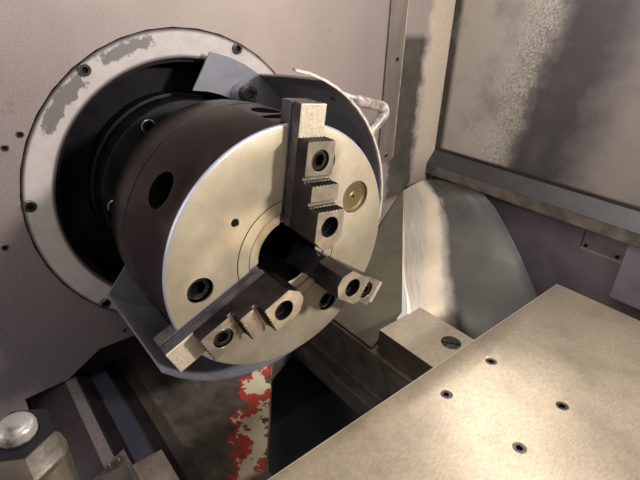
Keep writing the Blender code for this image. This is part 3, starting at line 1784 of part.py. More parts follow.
door_face = door_rear_y - door_thick - seat_gap
grip_x = open_left + window_side / 2
grip_z = (window_low + window_high) / 2
grip_points = [(grip_x, door_face, grip_z - handle_half)]
grip_bend = handle_stand / 2
for middle, start in ((grip_z - handle_half + grip_bend, 0), (grip_z + handle_half - grip_bend, 90)):
    for i in range(5):
        turn = math.radians(start + 90 * i / 4)
        away = door_face - grip_bend - grip_bend * math.sin(turn)
        grip_points.append((grip_x, away, middle - grip_bend * math.cos(turn)))
grip_points.append((grip_x, door_face, grip_z + handle_half))
door_handle = tube("door_handle", grip_points, handle_bar, black_plastic)
rail_height = 40 * mm
rail_lip = 6 * mm
rail_clear = 2 * mm
rail_face = front_y - sheet - seat_gap


def door_rail(name, middle, opening_up):
    """A channel across the front panel, whose lip keeps the door's edge."""
    reach = door_gap + door_thick + rail_lip
    sense = 1 if opening_up else -1
    back = middle - sense * rail_height / 2
    path = [
        (rail_face, middle + sense * rail_height / 2),
        (rail_face, back),
        (rail_face - reach, back),
        (rail_face - reach, back + sense * rail_height / 2),
    ]
    return folded(name, path, (door_left - overhang, work_length), stainless_sheet, sheet, sense)


upper_rail = door_rail("door_rail_upper", door_high - rail_height / 2 + sheet + rail_clear, False)
lower_rail = door_rail("door_rail_lower", door_low + rail_height / 2 - sheet - seat_gap, True)

# Control panel: box on the front of the headstock housing with a screen, keys and switches
panel_margin = 50 * mm
panel_left = -head_length + panel_margin
panel_width = 480 * mm
panel_right_x = panel_left + panel_width
panel_foot = -120 * mm
panel_top = top_height - top_rail
panel_depth = 72 * mm
panel_edge = 8 * mm
panel_front = front_y - sheet - seat_gap - panel_depth
control_panel = box(
    "control_panel",
    (panel_left, panel_front, panel_foot),
    (panel_right_x, front_y - sheet - seat_gap, panel_top),
    blue_grey_paint,
    panel_edge,
)
screen_margin = 40 * mm
screen_width = 280 * mm
screen_height = 210 * mm
screen_left = panel_left + screen_margin
screen_right = screen_left + screen_width
screen_top = panel_top - screen_margin
screen_foot = screen_top - screen_height
screen_sink = 6 * mm
screen_pocket = box("screen_pocket", (screen_left, panel_front - overrun, screen_foot),
                    (screen_right, panel_front + screen_sink, screen_top))
cut(control_panel, screen_pocket)
key_rows = 4
key_columns = 6
key_pitch = 40 * mm
key_half = 14 * mm
key_proud = 3 * mm
key_left = screen_left + key_half + overhang / 2
keys_drop = 50 * mm
key_top = screen_foot - keys_drop
for row in range(key_rows):
    for column in range(key_columns):
        key_x = key_left + key_pitch * column
        key_z = key_top - key_pitch * row
        key = box(f"key_{row}_{column}", (key_x - key_half, panel_front - key_proud, key_z - key_half),
                  (key_x + key_half, panel_front + sheet, key_z + key_half))
        join(control_panel, key)
button_inset = 70 * mm
button_x = panel_right_x - button_inset
button_bore = 11 * mm
button_depth = 24 * mm
stop_z = -40 * mm
start_z = 60 * mm
knob_z = 250 * mm
for name, level in (("stop", stop_z), ("start", start_z), ("knob", knob_z)):
    well = disc(f"{name}_well", (-panel_front - button_depth, -panel_front + overrun), button_bore,
                place=(button_x, 0, level), turn=(math.pi / 2, 0, 0), steps=small_steps)
    cut(control_panel, well)
stop_travel = 5 * mm
button_travel = 4 * mm
stop_radius = 20 * mm
stop_length = 19.4 * mm
start_radius = 13 * mm
start_length = 6 * mm
knob_radius = 19 * mm
knob_length = 16 * mm
pointer_half = 2 * mm
pointer_proud = 2.4 * mm


def push_button(name, level, head_radius, head_length, travel, material):
    """A button whose stem stands in its well and whose head keeps its travel clear of the panel."""
    front = -panel_front
    stem = button_bore - seat_gap
    profile = [
        (front + travel + seat_gap + head_length, 0),
        (front + travel + seat_gap + head_length, head_radius * 0.7),
        (front + travel + seat_gap + head_length * 0.6, head_radius),
        (front + travel + seat_gap, head_radius),
        (front + travel + seat_gap, stem),
        (front - button_depth + travel + seat_gap, stem),
        (front - button_depth + travel + seat_gap, 0),
    ]
    return turned(name, profile, material, (button_x, 0, level), (math.pi / 2, 0, 0), small_steps)


estop = push_button("emergency_stop", stop_z, stop_radius, stop_length, stop_travel, red_plastic)
start_button = push_button("start_button", start_z, start_radius, start_length, button_travel, green_plastic)
override_knob = push_button("override_knob", knob_z, knob_radius, knob_length, seat_gap, black_plastic)
knob_front = panel_front - seat_gap * 2 - knob_length
pointer = box("knob_pointer", (button_x - pointer_half, knob_front - pointer_proud, knob_z),
              (button_x + pointer_half, knob_front + knob_length / 3, knob_z + knob_length))
join(override_knob, pointer)

# Moving groups
spindle_axis = axis_empty("spindle_axis", (0, 0, 0), (0, 0, 0), nose)
carry(spindle_axis, spindle, adapter, chuck_body, chuck_disc, chuck_bush, spindle_pulley)
saddle_slide = axis_empty("saddle_slide", (saddle_left, 0, way_z), (0, 0, 0), nose)
carry(saddle_slide, saddle, wiper)
cross_axis = axis_empty("cross_slide_axis", (bridge_left, 0, bridge_top), (0, 0, 0), nose)
carry(cross_axis, cross_slide, top_plate)
screw_axis = axis_empty("bed_screw_axis", (0, screw_y, screw_z), (0, 0, 0), nose)
carry(screw_axis, bed_screw)
motor_axis = axis_empty("motor_axis", (0, motor_y, motor_z), (0, 0, 0), nose)
carry(motor_axis, motor_pulley)
tail_slide = axis_empty("tailstock_slide", (tail_left, 0, way_z), (0, 0, 0), nose)
carry(tail_slide, tailstock)
quill_slide = axis_empty("quill_slide", (quill_left, 0, 0), (0, 0, 0), nose)
carry(quill_slide, quill, live_centre, hand_wheel)
door_slide = axis_empty("door_slide", (open_left, door_rear_y, door_low), (0, 0, 0), nose)
carry(door_slide, door, pane, door_handle)

for piece in lathe.objects:
    if piece.type == "MESH" and not piece.modifiers:
        smooth(piece.data)
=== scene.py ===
import json
import math

import bmesh
import bpy
from mathutils import Matrix, Vector

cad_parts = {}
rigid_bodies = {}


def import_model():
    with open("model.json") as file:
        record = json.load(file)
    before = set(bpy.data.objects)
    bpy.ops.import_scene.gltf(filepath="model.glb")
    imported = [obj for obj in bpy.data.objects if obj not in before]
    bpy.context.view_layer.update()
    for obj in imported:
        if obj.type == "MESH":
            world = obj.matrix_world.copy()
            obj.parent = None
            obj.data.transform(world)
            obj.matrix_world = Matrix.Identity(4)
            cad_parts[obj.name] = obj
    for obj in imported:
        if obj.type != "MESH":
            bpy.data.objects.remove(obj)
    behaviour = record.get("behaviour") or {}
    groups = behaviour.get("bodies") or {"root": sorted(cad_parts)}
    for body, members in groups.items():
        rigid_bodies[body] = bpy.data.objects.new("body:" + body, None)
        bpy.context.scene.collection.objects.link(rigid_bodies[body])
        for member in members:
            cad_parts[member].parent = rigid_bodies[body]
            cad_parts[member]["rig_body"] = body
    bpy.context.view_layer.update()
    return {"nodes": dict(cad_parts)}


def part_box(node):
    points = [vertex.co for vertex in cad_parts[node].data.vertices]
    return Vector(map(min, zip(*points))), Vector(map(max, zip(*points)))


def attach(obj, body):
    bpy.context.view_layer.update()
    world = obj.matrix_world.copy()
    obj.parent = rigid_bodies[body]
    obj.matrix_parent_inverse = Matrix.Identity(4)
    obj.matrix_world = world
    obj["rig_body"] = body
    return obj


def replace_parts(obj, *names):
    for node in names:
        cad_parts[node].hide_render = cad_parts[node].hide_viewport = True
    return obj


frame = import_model()

# Spindle nose: the place from which the lathe is set out.
# The spindle's axis meets the plane of the headstock wall here, and sizes below are millimetres from it.
mm = 0.001
chuck_low, chuck_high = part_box("chuck_body")
nose_height = (chuck_low.z + chuck_high.z) / 2
nose = Vector((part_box("headstock_wall")[1].x, (chuck_low.y + chuck_high.y) / 2, nose_height))


def at(x, y, z):
    """A place in the lathe's own millimetres, as a place in the frame."""
    return nose + Vector((x, y, z)) * mm


# Camera: a wide phone lens held in the open door, above the cross slide.
# It looks down and to the left at the chuck, with no shift.
def stand_up(name, data):
    """An object for a mesh, a light or a camera, linked to the scene."""
    made = bpy.data.objects.new(name, data)
    bpy.context.scene.collection.objects.link(made)
    return made


look_right = Vector((0.63155, 0.77494, 0.02478))
look_down = Vector((0.37394, -0.27644, -0.8853))
look_ahead = Vector((-0.6792, 0.56837, -0.46436))
camera_place = at(538.0, -231.2, 222.3)
focal_pixels = 469.17
picture_width = 640
film = 36.0
camera = stand_up("camera", bpy.data.cameras.new("camera"))
camera.data.sensor_width = film
camera.data.lens = focal_pixels / picture_width * film
camera.data.clip_start = 0.01
camera.data.clip_end = 60
camera_turn = Matrix((look_right, -look_down, -look_ahead)).transposed()
camera.matrix_world = Matrix.Translation(camera_place) @ camera_turn.to_4x4()
bpy.context.scene.camera = camera

# Studio: pale floor and world, three soft lamps round the machine, one above it and two small ones inside it.
# The two inside stand where the machine's own work lights do, and light the plate, the wall and the chuck.
bpy.context.scene.view_settings.view_transform = "Standard"


def linear(code):
    """An sRGB hex colour as linear values with alpha."""
    parts = [int(code[i : i + 2], 16) / 255 for i in (1, 3, 5)]
    return (*[p / 12.92 if p <= 0.04045 else ((p + 0.055) / 1.055) ** 2.4 for p in parts], 1)


def fill(node, inputs):
    """Fills or links a node's sockets. A hex code is a colour."""
    for name, value in inputs.items():
        if isinstance(value, bpy.types.NodeSocket):
            node.id_data.links.new(value, node.inputs[name])
        else:
            node.inputs[name].default_value = linear(value) if isinstance(value, str) else value


def add_node(tree, kind, inputs=None, **settings):
    """Adds a node, sets its properties and fills its sockets."""
    node = tree.nodes.new(kind)
    for name, value in settings.items():
        setattr(node, name, value)
    fill(node, inputs or {})
    return node


def maths(kind, *values):
    """One sum of sockets and numbers. The first value is a socket."""
    return add_node(values[0].id_data, "ShaderNodeMath", dict(enumerate(values)), operation=kind).outputs[0]


def soft_lamp(name, place, target, size, watts, colour):
    """A round area lamp at place that faces target."""
    lamp = stand_up(name, bpy.data.lights.new(name, "AREA"))
    lamp.data.shape = "DISK"
    lamp.data.size = size
    lamp.data.energy = watts
    lamp.data.color = linear(colour)[:3]
    lamp.location = place
    lamp.rotation_mode = "QUATERNION"
    lamp.rotation_quaternion = (target - place).to_track_quat("-Z", "Y")


floor_reach = 9.0
floor_corners = [(-floor_reach, -floor_reach, 0), (floor_reach, -floor_reach, 0)]
floor_corners += [(floor_reach, floor_reach, 0), (-floor_reach, floor_reach, 0)]
floor_mesh = bpy.data.meshes.new("studio_floor")
floor_mesh.from_pydata(floor_corners, [], [(0, 1, 2, 3)])
studio_floor = stand_up("studio_floor", floor_mesh)
pale = bpy.data.materials.new("pale_floor")
pale.use_nodes = True
fill(pale.node_tree.nodes["Principled BSDF"], {"Base Color": "#e2e0dc", "Roughness": 0.8})
floor_mesh.materials.append(pale)
world = bpy.data.worlds.new("studio")
world.use_nodes = True
world_light, seen_light, mirrored_light = 0.32, 0.58, 0.12
rays = add_node(world.node_tree, "ShaderNodeLightPath").outputs
seen = maths("MULTIPLY", rays["Is Camera Ray"], seen_light)
mirrored = maths("ADD", rays["Is Glossy Ray"], rays["Is Transmission Ray"])
strength = maths("ADD", seen, maths("MULTIPLY_ADD", mirrored, mirrored_light, world_light))
fill(world.node_tree.nodes["Background"], {"Color": "#efece8", "Strength": strength})
bpy.context.scene.world = world
soft_lamp("work_lamp", at(1020, 360, 450), at(230, 0, 0), 0.1, 13, "#fffaf6")
soft_lamp("rear_work_lamp", at(250, 440, 385), at(360, 40, -100), 0.14, 1.1, "#fffaf6")
soft_lamp("top_lamp", at(300, -60, 1150), at(150, 40, -100), 0.8, 7, "#fff8f4")
soft_lamp("front_lamp", at(-600, -3200, 1500), at(300, 0, -300), 2.5, 82, "#fffaf4")
soft_lamp("side_lamp", at(3400, -1400, 1300), at(400, 0, -200), 2.2, 75, "#f6f8ff")
soft_lamp("back_lamp", at(-900, 3300, 1500), at(200, 0, -200), 2.5, 80, "#ffffff")


# Machine stand and front apron: welded steel stand on round feet under the bed, with a folded apron.
# Both are painted in satin grey machine enamel, greyer in broad patches and scuffed in spots.
def start_material(name):
    """A material, its shader, and the object's own coordinates in millimetres from the nose."""
    material = bpy.data.materials.new(name)
    material.use_nodes = True
    tree = material.node_tree
    place = add_node(tree, "ShaderNodeTexCoord").outputs["Object"]
    shift = {"Vector": place, "Location": -nose / mm, "Scale": (1 / mm, 1 / mm, 1 / mm)}
    from_nose = add_node(tree, "ShaderNodeMapping", shift).outputs["Vector"]
    return material, tree.nodes["Principled BSDF"], from_nose


def ramp(value, low, high, floor=0.0, top=1.0):
    """From floor to top while a value goes from low to high, and level outside."""
    span = {"Value": value, "From Min": low, "From Max": high, "To Min": floor, "To Max": top}
    return add_node(value.id_data, "ShaderNodeMapRange", span).outputs["Result"]


def grain(place, size, low=0.3, high=0.7, floor=0.0, top=1.0, detail=4.0, rough=0.6, stretch=(1, 1, 1)):
    """Patches about size millimetres wide: 0 below low and 1 above high of a noise, or floor to top."""
    tree = place.id_data
    fitting = {"Vector": place, "Scale": [1 / (size * s) for s in stretch]}
    fitted = add_node(tree, "ShaderNodeMapping", fitting).outputs["Vector"]
    cells = {"Vector": fitted, "Scale": 1.0, "Detail": detail, "Roughness": rough}
    return ramp(add_node(tree, "ShaderNodeTexNoise", cells).outputs["Fac"], low, high, floor, top)


def gloss(place, size, low, high):
    """A roughness that goes from low to high in patches about size millimetres wide."""
    return grain(place, size, floor=low, top=high)


def coat(under, over, *masks):
    """Colour over lies on colour under where all the masks meet."""
    share = masks[0]
    for mask in masks[1:]:
        share = maths("MULTIPLY", share, mask)
    blend = {"Factor": share, 6: under, 7: over}
    return add_node(share.id_data, "ShaderNodeMix", blend, data_type="RGBA").outputs[2]


def surface(shader, colour, roughness, height, depth, metal=0.0):
    """Sets a shader's colour, roughness and metal, and a bump of a real depth in millimetres."""
    bump = {"Height": height, "Distance": depth * mm, "Strength": 1.0}
    relief = add_node(shader.id_data, "ShaderNodeBump", bump).outputs["Normal"]
    fill(shader, {"Base Color": colour, "Roughness": roughness, "Metallic": metal, "Normal": relief})


def enamel(name, paint, shade, scuff):
    """Satin machine enamel: sprayed, a little orange-peeled, greyer in broad patches and scuffed in spots."""
    material, shader, place = start_material(name)
    peel = grain(place, 3.5)
    broad = grain(place, 420, 0.35, 0.65, 0, 0.6)
    spots = grain(place, 26, 0.62, 0.7, 0, 0.7, 9.0, 0.75)
    colour = coat(coat(paint, shade, broad), scuff, spots)
    surface(shader, colour, gloss(place, 60, 0.34, 0.5), peel, 0.05)
    return material


def dress(material, *names):
    """Gives CAD nodes a finish."""
    for name in names:
        node = frame["nodes"][name]
        node.data.materials.clear()
        node.data.materials.append(material)


stand_enamel = enamel("grey_satin_enamel", "#63656a", "#4f5156", "#8b8984")
dress(stand_enamel, "machine_base", "front_apron")

# Chip tray and door rails: pressed and folded stainless sheet, brushed along its length.
# The tray lies in the stand's trough, and the rails are screwed across the front panel.
brushed_sheet, shader, place = start_material("brushed_stainless_sheet")
brushing = grain(place, 1.4, detail=5.0, stretch=(40, 1, 1))
stain = grain(place, 90, 0.5, 0.68, 0, 0.6, 6.0)
colour = coat(coat("#a39c92", "#8c857c", brushing), "#6a6259", stain)
surface(shader, colour, gloss(place, 40, 0.28, 0.45), brushing, 0.02, 0.9)
dress(brushed_sheet, "chip_tray", "door_rail_upper", "door_rail_lower")


# Bed: grey iron casting with ground guides and a cored web, painted cream over red primer beside the opening.
# Darker and lighter strips run along the guides, speckled with dust, and the paint has flaked off in a ragged
# strip.
def new_piece(name, mesh, material, body, sharp=32):
    """An object at the origin for a mesh that has its place in it. Edges over sharp degrees are sharp."""
    piece = stand_up(name, mesh)
    mesh.materials.clear()
    mesh.materials.append(material)
    mesh.shade_smooth()
    mesh.set_sharp_from_angle(angle=math.radians(sharp))
    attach(piece, body)
    return piece


def mesh_of(name, form):
    """A mesh with a bmesh's shape. The bmesh is freed."""
    mesh = bpy.data.meshes.new(name)
    form.to_mesh(mesh)
    form.free()
    return mesh


def settle(target, tools=()):
    """The mesh that an object's modifiers give. The object and its tools are removed."""
    bpy.context.view_layer.update()
    ready = target.evaluated_get(bpy.context.evaluated_depsgraph_get())
    mesh = bpy.data.meshes.new_from_object(ready)
    for used in (target, *tools):
        bpy.data.objects.remove(used, do_unlink=True)
    return mesh


def rounded_copy(node, edge, material, sharp=28):
    """A node's own shape with merged facets and broken edges, which then stands for the node."""
    same_place, flat_within, broken_over = 0.02 * mm, math.radians(1), math.radians(38)
    form = bmesh.new()
    form.from_mesh(frame["nodes"][node].data)
    bmesh.ops.remove_doubles(form, verts=form.verts, dist=same_place)
    bmesh.ops.dissolve_limit(form, angle_limit=flat_within, verts=form.verts, edges=form.edges)
    faceted = stand_up(node + "_faceted", mesh_of(node + "_faceted", form))
    bevel = faceted.modifiers.new("edges", "BEVEL")
    bevel.width = edge * mm
    bevel.segments = 1
    bevel.limit_method = "ANGLE"
    bevel.angle_limit = broken_over
    bevel.use_clamp_overlap = True
    body = frame["nodes"][node]["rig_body"]
    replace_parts(new_piece(node + "_dressed", settle(faceted), material, body, sharp), node)


def axis_of(value, axis):
    """One part of a vector: X, Y or Z."""
    return add_node(value.id_data, "ShaderNodeSeparateXYZ", {"Vector": value}).outputs[axis]


def vector_maths(kind, *values):
    """One sum of vectors. The first value is a socket."""
    tree = values[0].id_data
    return add_node(tree, "ShaderNodeVectorMath", dict(enumerate(values)), operation=kind).outputs


def zone(value, low, high, soft):
    """1 where a value lies between low and high, with edges that are soft wide."""
    rise = ramp(value, low - soft, low + soft)
    return maths("MULTIPLY", rise, ramp(value, high - soft, high + soft, 1.0, 0.0))


bed_iron, shader, place = start_material("ground_and_painted_bed_casting")
along, across, level = (axis_of(place, axis) for axis in "XYZ")
speckle = grain(place, 2.2, 0.42, 0.66, detail=6.0, rough=0.75)
mottle = grain(place, 24, 0.35, 0.65, detail=6.0)
colour = coat("#6f655d", "#4c453f", mottle)
bands = (
    (-300, -193, 0.6, "#2a2226", "#362d2f"),
    (-193, -181, 0.5, "#57504f", "#777070"),
    (-181, -163, 0.6, "#151214", "#201b1e"),
    (-163, -138, 0.8, "#34343f", "#3f3e48"),
    (-138, -121, 0.6, "#1d191b", "#2a2524"),
    (-121, -106, 0.8, "#3b362f", "#5e564b"),
)
for low, high, soft, tone, dust in bands:
    strip = coat(tone, dust, speckle)
    colour = coat(colour, strip, zone(across, low, high, soft))
flake_x, flake_y = -0.587, -0.81
lean = vector_maths("DOT_PRODUCT", place, (flake_x, flake_y, 0))["Value"]
ragged = grain(place, 26, 0.25, 0.75, -24, 24, 6.0, 0.6)
shifted = maths("ADD", lean, ragged)
edge_line = flake_x * 62 + flake_y * 76
beside = zone(along, 66, 222, 5)
web = zone(level, -345, -240, 3)
primer = zone(shifted, edge_line - 4, edge_line + 37, 1.2)
topcoat = zone(shifted, edge_line - 4, edge_line + 31, 1.0)
bare = grain(place, 44, 0.36, 0.38, detail=4.0)
kept = grain(place, 44, 0.47, 0.49, detail=4.0)
colour = coat(colour, "#bf4a3b", primer, beside, web, bare)
colour = coat(colour, "#e6daba", topcoat, beside, web, kept)
surface(shader, colour, gloss(place, 18, 0.38, 0.62), mottle, 0.15, 0.35)
rounded_copy("bed", 0.8, bed_iron)

# Headstock: heavy casting that holds the spindle, with an arched recess behind the cover ring.
# It is black with oil, with a few specks of dust, and its near-black is deepened as painted shade inside the
# recess.
oiled_black, shader, place = start_material("oiled_black_casting")
dim = grain(place, 35, 0.4, 0.65, detail=5.0)
specks = grain(place, 1.5, 0.76, 0.8, 0, 0.7, 3.0)
# Painted shade: the near-black also stands for the shade in the recess behind the cover ring.
colour = coat(coat("#060506", "#110f11", dim), "#7d7872", specks)
surface(shader, colour, gloss(place, 40, 0.3, 0.55), grain(place, 3), 0.08)
fill(shader, {"Specular IOR Level": 0.12})
dress(oiled_black, "headstock")


# Cover ring: 6 mm steel ring screwed on the headstock, in worn off-white enamel over grey.
# It is scratched through to the grey in long ragged patches, and both edges are darker.
def turned_mesh(name, profile, centre, axis="x", steps=128):
    """A turned shape. The profile lists (along, radius) in millimetres, round the closed section."""
    form = bmesh.new()
    rows = []
    for along, radius in profile:
        count = steps if radius else 1
        angles = [2 * math.pi * i / steps for i in range(count)]
        rows.append([form.verts.new((radius * math.cos(a), radius * math.sin(a), along)) for a in angles])
    pairs = list(zip(rows, rows[1:]))
    if profile[0][1] or profile[-1][1]:
        pairs.append((rows[-1], rows[0]))
    for low, high in pairs:
        for i in range(steps):
            corners = [row[k % len(row)] for row, k in ((low, i), (low, i + 1), (high, i + 1), (high, i))]
            corners = list(dict.fromkeys(corners))
            if len(corners) > 2:
                form.faces.new(corners)
    bmesh.ops.recalc_face_normals(form, faces=form.faces)
    turns = {"x": Matrix(((0, 0, 1), (1, 0, 0), (0, 1, 0))), "z": Matrix.Identity(3)}
    form.transform(Matrix.Translation(centre) @ (turns[axis].to_4x4() @ Matrix.Scale(mm, 4)))
    return mesh_of(name, form)


def from_axis(place):
    """How far a place lies from the line along X through its origin."""
    return vector_maths("LENGTH", vector_maths("MULTIPLY", place, (0, 1, 1))[0])["Value"]


ring_enamel, shader, place = start_material("worn_off_white_enamel")
radius = from_axis(place)
fine = grain(place, 1.5, 0.6, 0.68, 0, 0.9, 5.0, 0.7)
turn = maths("ARCTAN2", axis_of(place, "Z"), axis_of(place, "Y"))
tear = grain(place, 9, 0.2, 0.8, -7, 7, 9.0, 0.75)
torn_radius = maths("ADD", radius, tear)
torn_turn = maths("MULTIPLY_ADD", tear, 0.012, turn)
darkening = grain(place, 30, 0.4, 0.7, 0, 0.55, 8.0, 0.7)
colour = coat("#aaa09b", "#8d8380", darkening)
torn_patches = (126, 148, 167, 181), (98, 117, 169, 181), (192, 207, 175, 184)
for start, end, low, high in torn_patches:
    torn = zone(torn_turn, math.radians(start), math.radians(end), 0.01)
    colour = coat(colour, "#625b59", torn, zone(torn_radius, low, high, 0.8))
colour = coat(colour, "#3c3634", fine, grain(place, 40, 0.5, 0.62, detail=3.0))
rim = zone(radius, 157.5, 182.6, 1.5)
darker_edges = ramp(rim, 0, 1, 1, 0)
colour = coat(colour, "#3b3533", darker_edges)
surface(shader, colour, gloss(place, 30, 0.35, 0.6), fine, 0.08)
ring_profile = [(-3.7, 154), (1.3, 154), (2.3, 155), (2.3, 184), (1.3, 185), (-3.7, 185)]
ring_mesh = turned_mesh("cover_ring_face", ring_profile, nose, steps=192)
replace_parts(new_piece("cover_ring_face", ring_mesh, ring_enamel, "machine"), "cover_ring")

# Bearing cover, chuck adapter and guard bolt: turned and blackened steel round the spindle.
# The cover is a stepped flange on six screws, and the adapter carries the chuck on its short taper.
blackened, shader, place = start_material("blackened_turned_steel")
turning = grain(place, 1.2, stretch=(1, 9, 9))
film = grain(place, 22, 0.4, 0.65, detail=5.0)
colour = coat(coat("#09080a", "#131113", film), "#7c766f", grain(place, 1.8, 0.76, 0.8, 0, 0.6))
surface(shader, colour, gloss(place, 30, 0.36, 0.55), turning, 0.02)
fill(shader, {"Specular IOR Level": 0.1})
cover_profile = [(-39.5, 62), (8, 62), (8, 107), (7, 109), (5, 110), (-20, 110), (-21, 113), (-39.5, 113)]
cover_mesh = turned_mesh("bearing_cover_flange", cover_profile, nose)
cover = new_piece("bearing_cover_flange", cover_mesh, blackened, "machine")
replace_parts(cover, "bearing_cover")
adapter_profile = [
    (30.5, 33), (68.5, 33), (68.5, 97), (67.5, 98), (52, 98), (50, 95), (48, 98), (31.5, 98), (30.5, 97)
]
adapter_mesh = turned_mesh("chuck_adapter_flange", adapter_profile, nose)
adapter = new_piece("chuck_adapter_flange", adapter_mesh, blackened, "spindle")
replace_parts(adapter, "chuck_adapter")
bolt_steel, shader, place = start_material("worn_plated_bolt_steel")
colour = coat("#5c5857", "#322f30", grain(place, 6, 0.35, 0.6, detail=5.0))
colour = coat(colour, "#b9b1a7", grain(place, 4, 0.6, 0.66, 0, 0.8, 7.0))
surface(shader, colour, gloss(place, 6, 0.28, 0.42), grain(place, 2), 0.02, 0.7)
rounded_copy("guard_pivot_bolt", 0.8, bolt_steel)
dress(blackened, "spindle_pulley", "motor_pulley", "tailstock_handwheel")

# Spindle, bearings and belt: ground hardened shaft in two bearing packs, driven by a ribbed rubber belt.
# They run inside the headstock and behind the end cover.
ground_shaft, shader, place = start_material("ground_hardened_shaft_steel")
grinding = grain(place, 0.9, stretch=(1, 12, 12))
colour = coat(coat("#8d8880", "#76716a", grinding), "#4a443e", grain(place, 30, 0.55, 0.7, 0, 0.7))
surface(shader, colour, gloss(place, 25, 0.2, 0.34), grinding, 0.01, 1.0)
dress(ground_shaft, "spindle", "front_bearing", "rear_bearing", "quill", "live_centre", "bed_ball_screw")
rubber, shader, place = start_material("black_ribbed_rubber_belt")
rib_radians_per_mm = 1.8
wave = maths("SINE", maths("MULTIPLY", axis_of(place, "X"), rib_radians_per_mm))
colour = coat("#161517", "#2b2927", grain(place, 18, 0.4, 0.7))
surface(shader, colour, gloss(place, 20, 0.6, 0.8), wave, 0.6)
dress(rubber, "drive_belt")

# Chuck: hardened steel body, turned and blued on its outside and faced bright on its front.
# The face has fine concentric marks and two turned lines round the bore, the outside a dark brown oil film.
chuck_steel, shader, place = start_material("faced_and_blued_chuck_steel")
radius = from_axis(place)
depth = axis_of(place, "X")
marks = []
for value, scale in ((radius, 0.9), (depth, 0.7)):
    cuts = {"W": value, "Scale": scale, "Detail": 6.0, "Roughness": 0.8}
    marks.append(add_node(shader.id_data, "ShaderNodeTexNoise", cuts, noise_dimensions="1D").outputs["Fac"])
facing, turning = marks
front = ramp(depth, 213.4, 214.2)
bright = coat("#b8ab93", "#998c75", grain(place, 45, 0.35, 0.7))
bright = coat(bright, "#8b7f69", ramp(facing, 0.4, 0.7, 0, 0.35))
bright = coat(bright, "#ded2bb", grain(place, 5, 0.72, 0.76, 0, 0.5, stretch=(1, 9, 0.6)))
turned_lines, line_half = (57.0, 45.0), 0.45
for line in turned_lines:
    bright = coat(bright, "#3a332c", zone(radius, line - line_half, line + line_half, 0.2))
dark = coat("#2a2223", "#3b3031", grain(place, 60, 0.35, 0.7))
dark = coat(dark, "#120e0f", grain(place, 16, 0.6, 0.68, 0, 0.6, 8.0, 0.7))
# Painted highlight: a bluish-white line on the chamfer round the rim of the face.
rim_highlight = zone(radius, 122.9, 124.9, 0.3)
whole = coat(coat(dark, bright, front), "#9a9ba8", rim_highlight, zone(depth, 212.9, 216.5, 0.3))
surface(shader, whole, gloss(place, 30, 0.3, 0.42), turning, 0.02, ramp(front, 0, 1, 0.9, 0.35))
round_axis = add_node(shader.id_data, "ShaderNodeTangent", direction_type="RADIAL", axis="X")
fill(shader, {"Anisotropic": 0.55, "Tangent": round_axis.outputs["Tangent"]})


def carve(target, meshes):
    """The mesh of an object with meshes cut out of it."""
    tools = []
    for mesh in meshes:
        tool = stand_up(mesh.name, mesh)
        change = target.modifiers.new(mesh.name, "BOOLEAN")
        change.operation = "DIFFERENCE"
        change.solver = "EXACT"
        change.object = tool
        tools.append(tool)
    return settle(target, tools)


def block_mesh(name, low, high, turn_about_x=0.0):
    """A block between two corners in the lathe's millimetres, turned about the spindle."""
    form = bmesh.new()
    bmesh.ops.create_cube(form, size=1)
    low, high = Vector(low), Vector(high)
    bmesh.ops.scale(form, vec=high - low, verts=form.verts)
    bmesh.ops.translate(form, vec=(low + high) / 2, verts=form.verts)
    form.transform(Matrix.Translation(nose) @ Matrix.Scale(mm, 4) @ Matrix.Rotation(turn_about_x, 4, "X"))
    return mesh_of(name, form)


def pin_mesh(name, start, end, radius, steps=48):
    """A cylinder from start to end in the lathe's millimetres, with a chamfered end."""
    start, end = Vector(start), Vector(end)
    length = (end - start).length
    lead = min(0.6, radius * 0.1)
    profile = [(0, 0), (0, radius), (length - lead, radius), (length, radius - lead), (length, 0)]
    mesh = turned_mesh(name, profile, Vector(), "z", steps)
    turn = (end - start).to_track_quat("Z", "X").to_matrix().to_4x4()
    mesh.transform(Matrix.Translation(nose + start * mm) @ turn)
    return mesh


def radial(x, radius, angle):
    """A place at a radius and angle round the spindle."""
    return (x, radius * math.cos(angle), radius * math.sin(angle))


jaw_turns = [math.radians(83.5 + 120 * i) for i in range(3)]
key_turn = math.radians(143.5)
mount_turns = [math.radians(63.7 + 120 * i) for i in range(3)]
disc_turn = math.radians(24.2)
pin_turn = math.radians(139.6)
chuck_profile = [
    (216, 45), (216, 56.4), (215.1, 56.7), (215.1, 57.3), (216, 57.6), (216, 122.4), (215.2, 124),
    (213.4, 125), (126, 125), (125, 124), (125, 122.5), (123, 122.5), (123, 124.2), (122.4, 124.7),
    (106.6, 124.7), (106, 124), (106, 120), (102, 120), (102, 121.6), (101.4, 122), (82, 122),
    (78, 121), (69.6, 117.5), (69, 117), (69, 44.5), (215.2, 44.5),
]
chuck = stand_up("chuck_turned", turned_mesh("chuck_turned", chuck_profile, nose, steps=192))
stem_half, tee_half, slot_floor, tee_front, slot_start, slot_end = 13.8, 19.3, 181, 195, 20, 150
key_x, key_floor, key_radius = 172, 65, 17
guide_x, guide_floor, guide_radius = 160, 103, 14
mount_circle, mount_floor, mount_radius = 94, 196, 12.5
disc_circle, disc_floor, disc_pocket_radius = 92, 208, 17.5
pin_circle, pin_floor, pin_hole_radius, pin_radius = 74, 212, 4, 3.4
past_side, past_slot, past_face = 140, 240, 230
key_socket = radial(key_x, key_floor, key_turn), radial(key_x, past_side, key_turn)
chuck_cuts = [pin_mesh("key_socket", *key_socket, key_radius)]
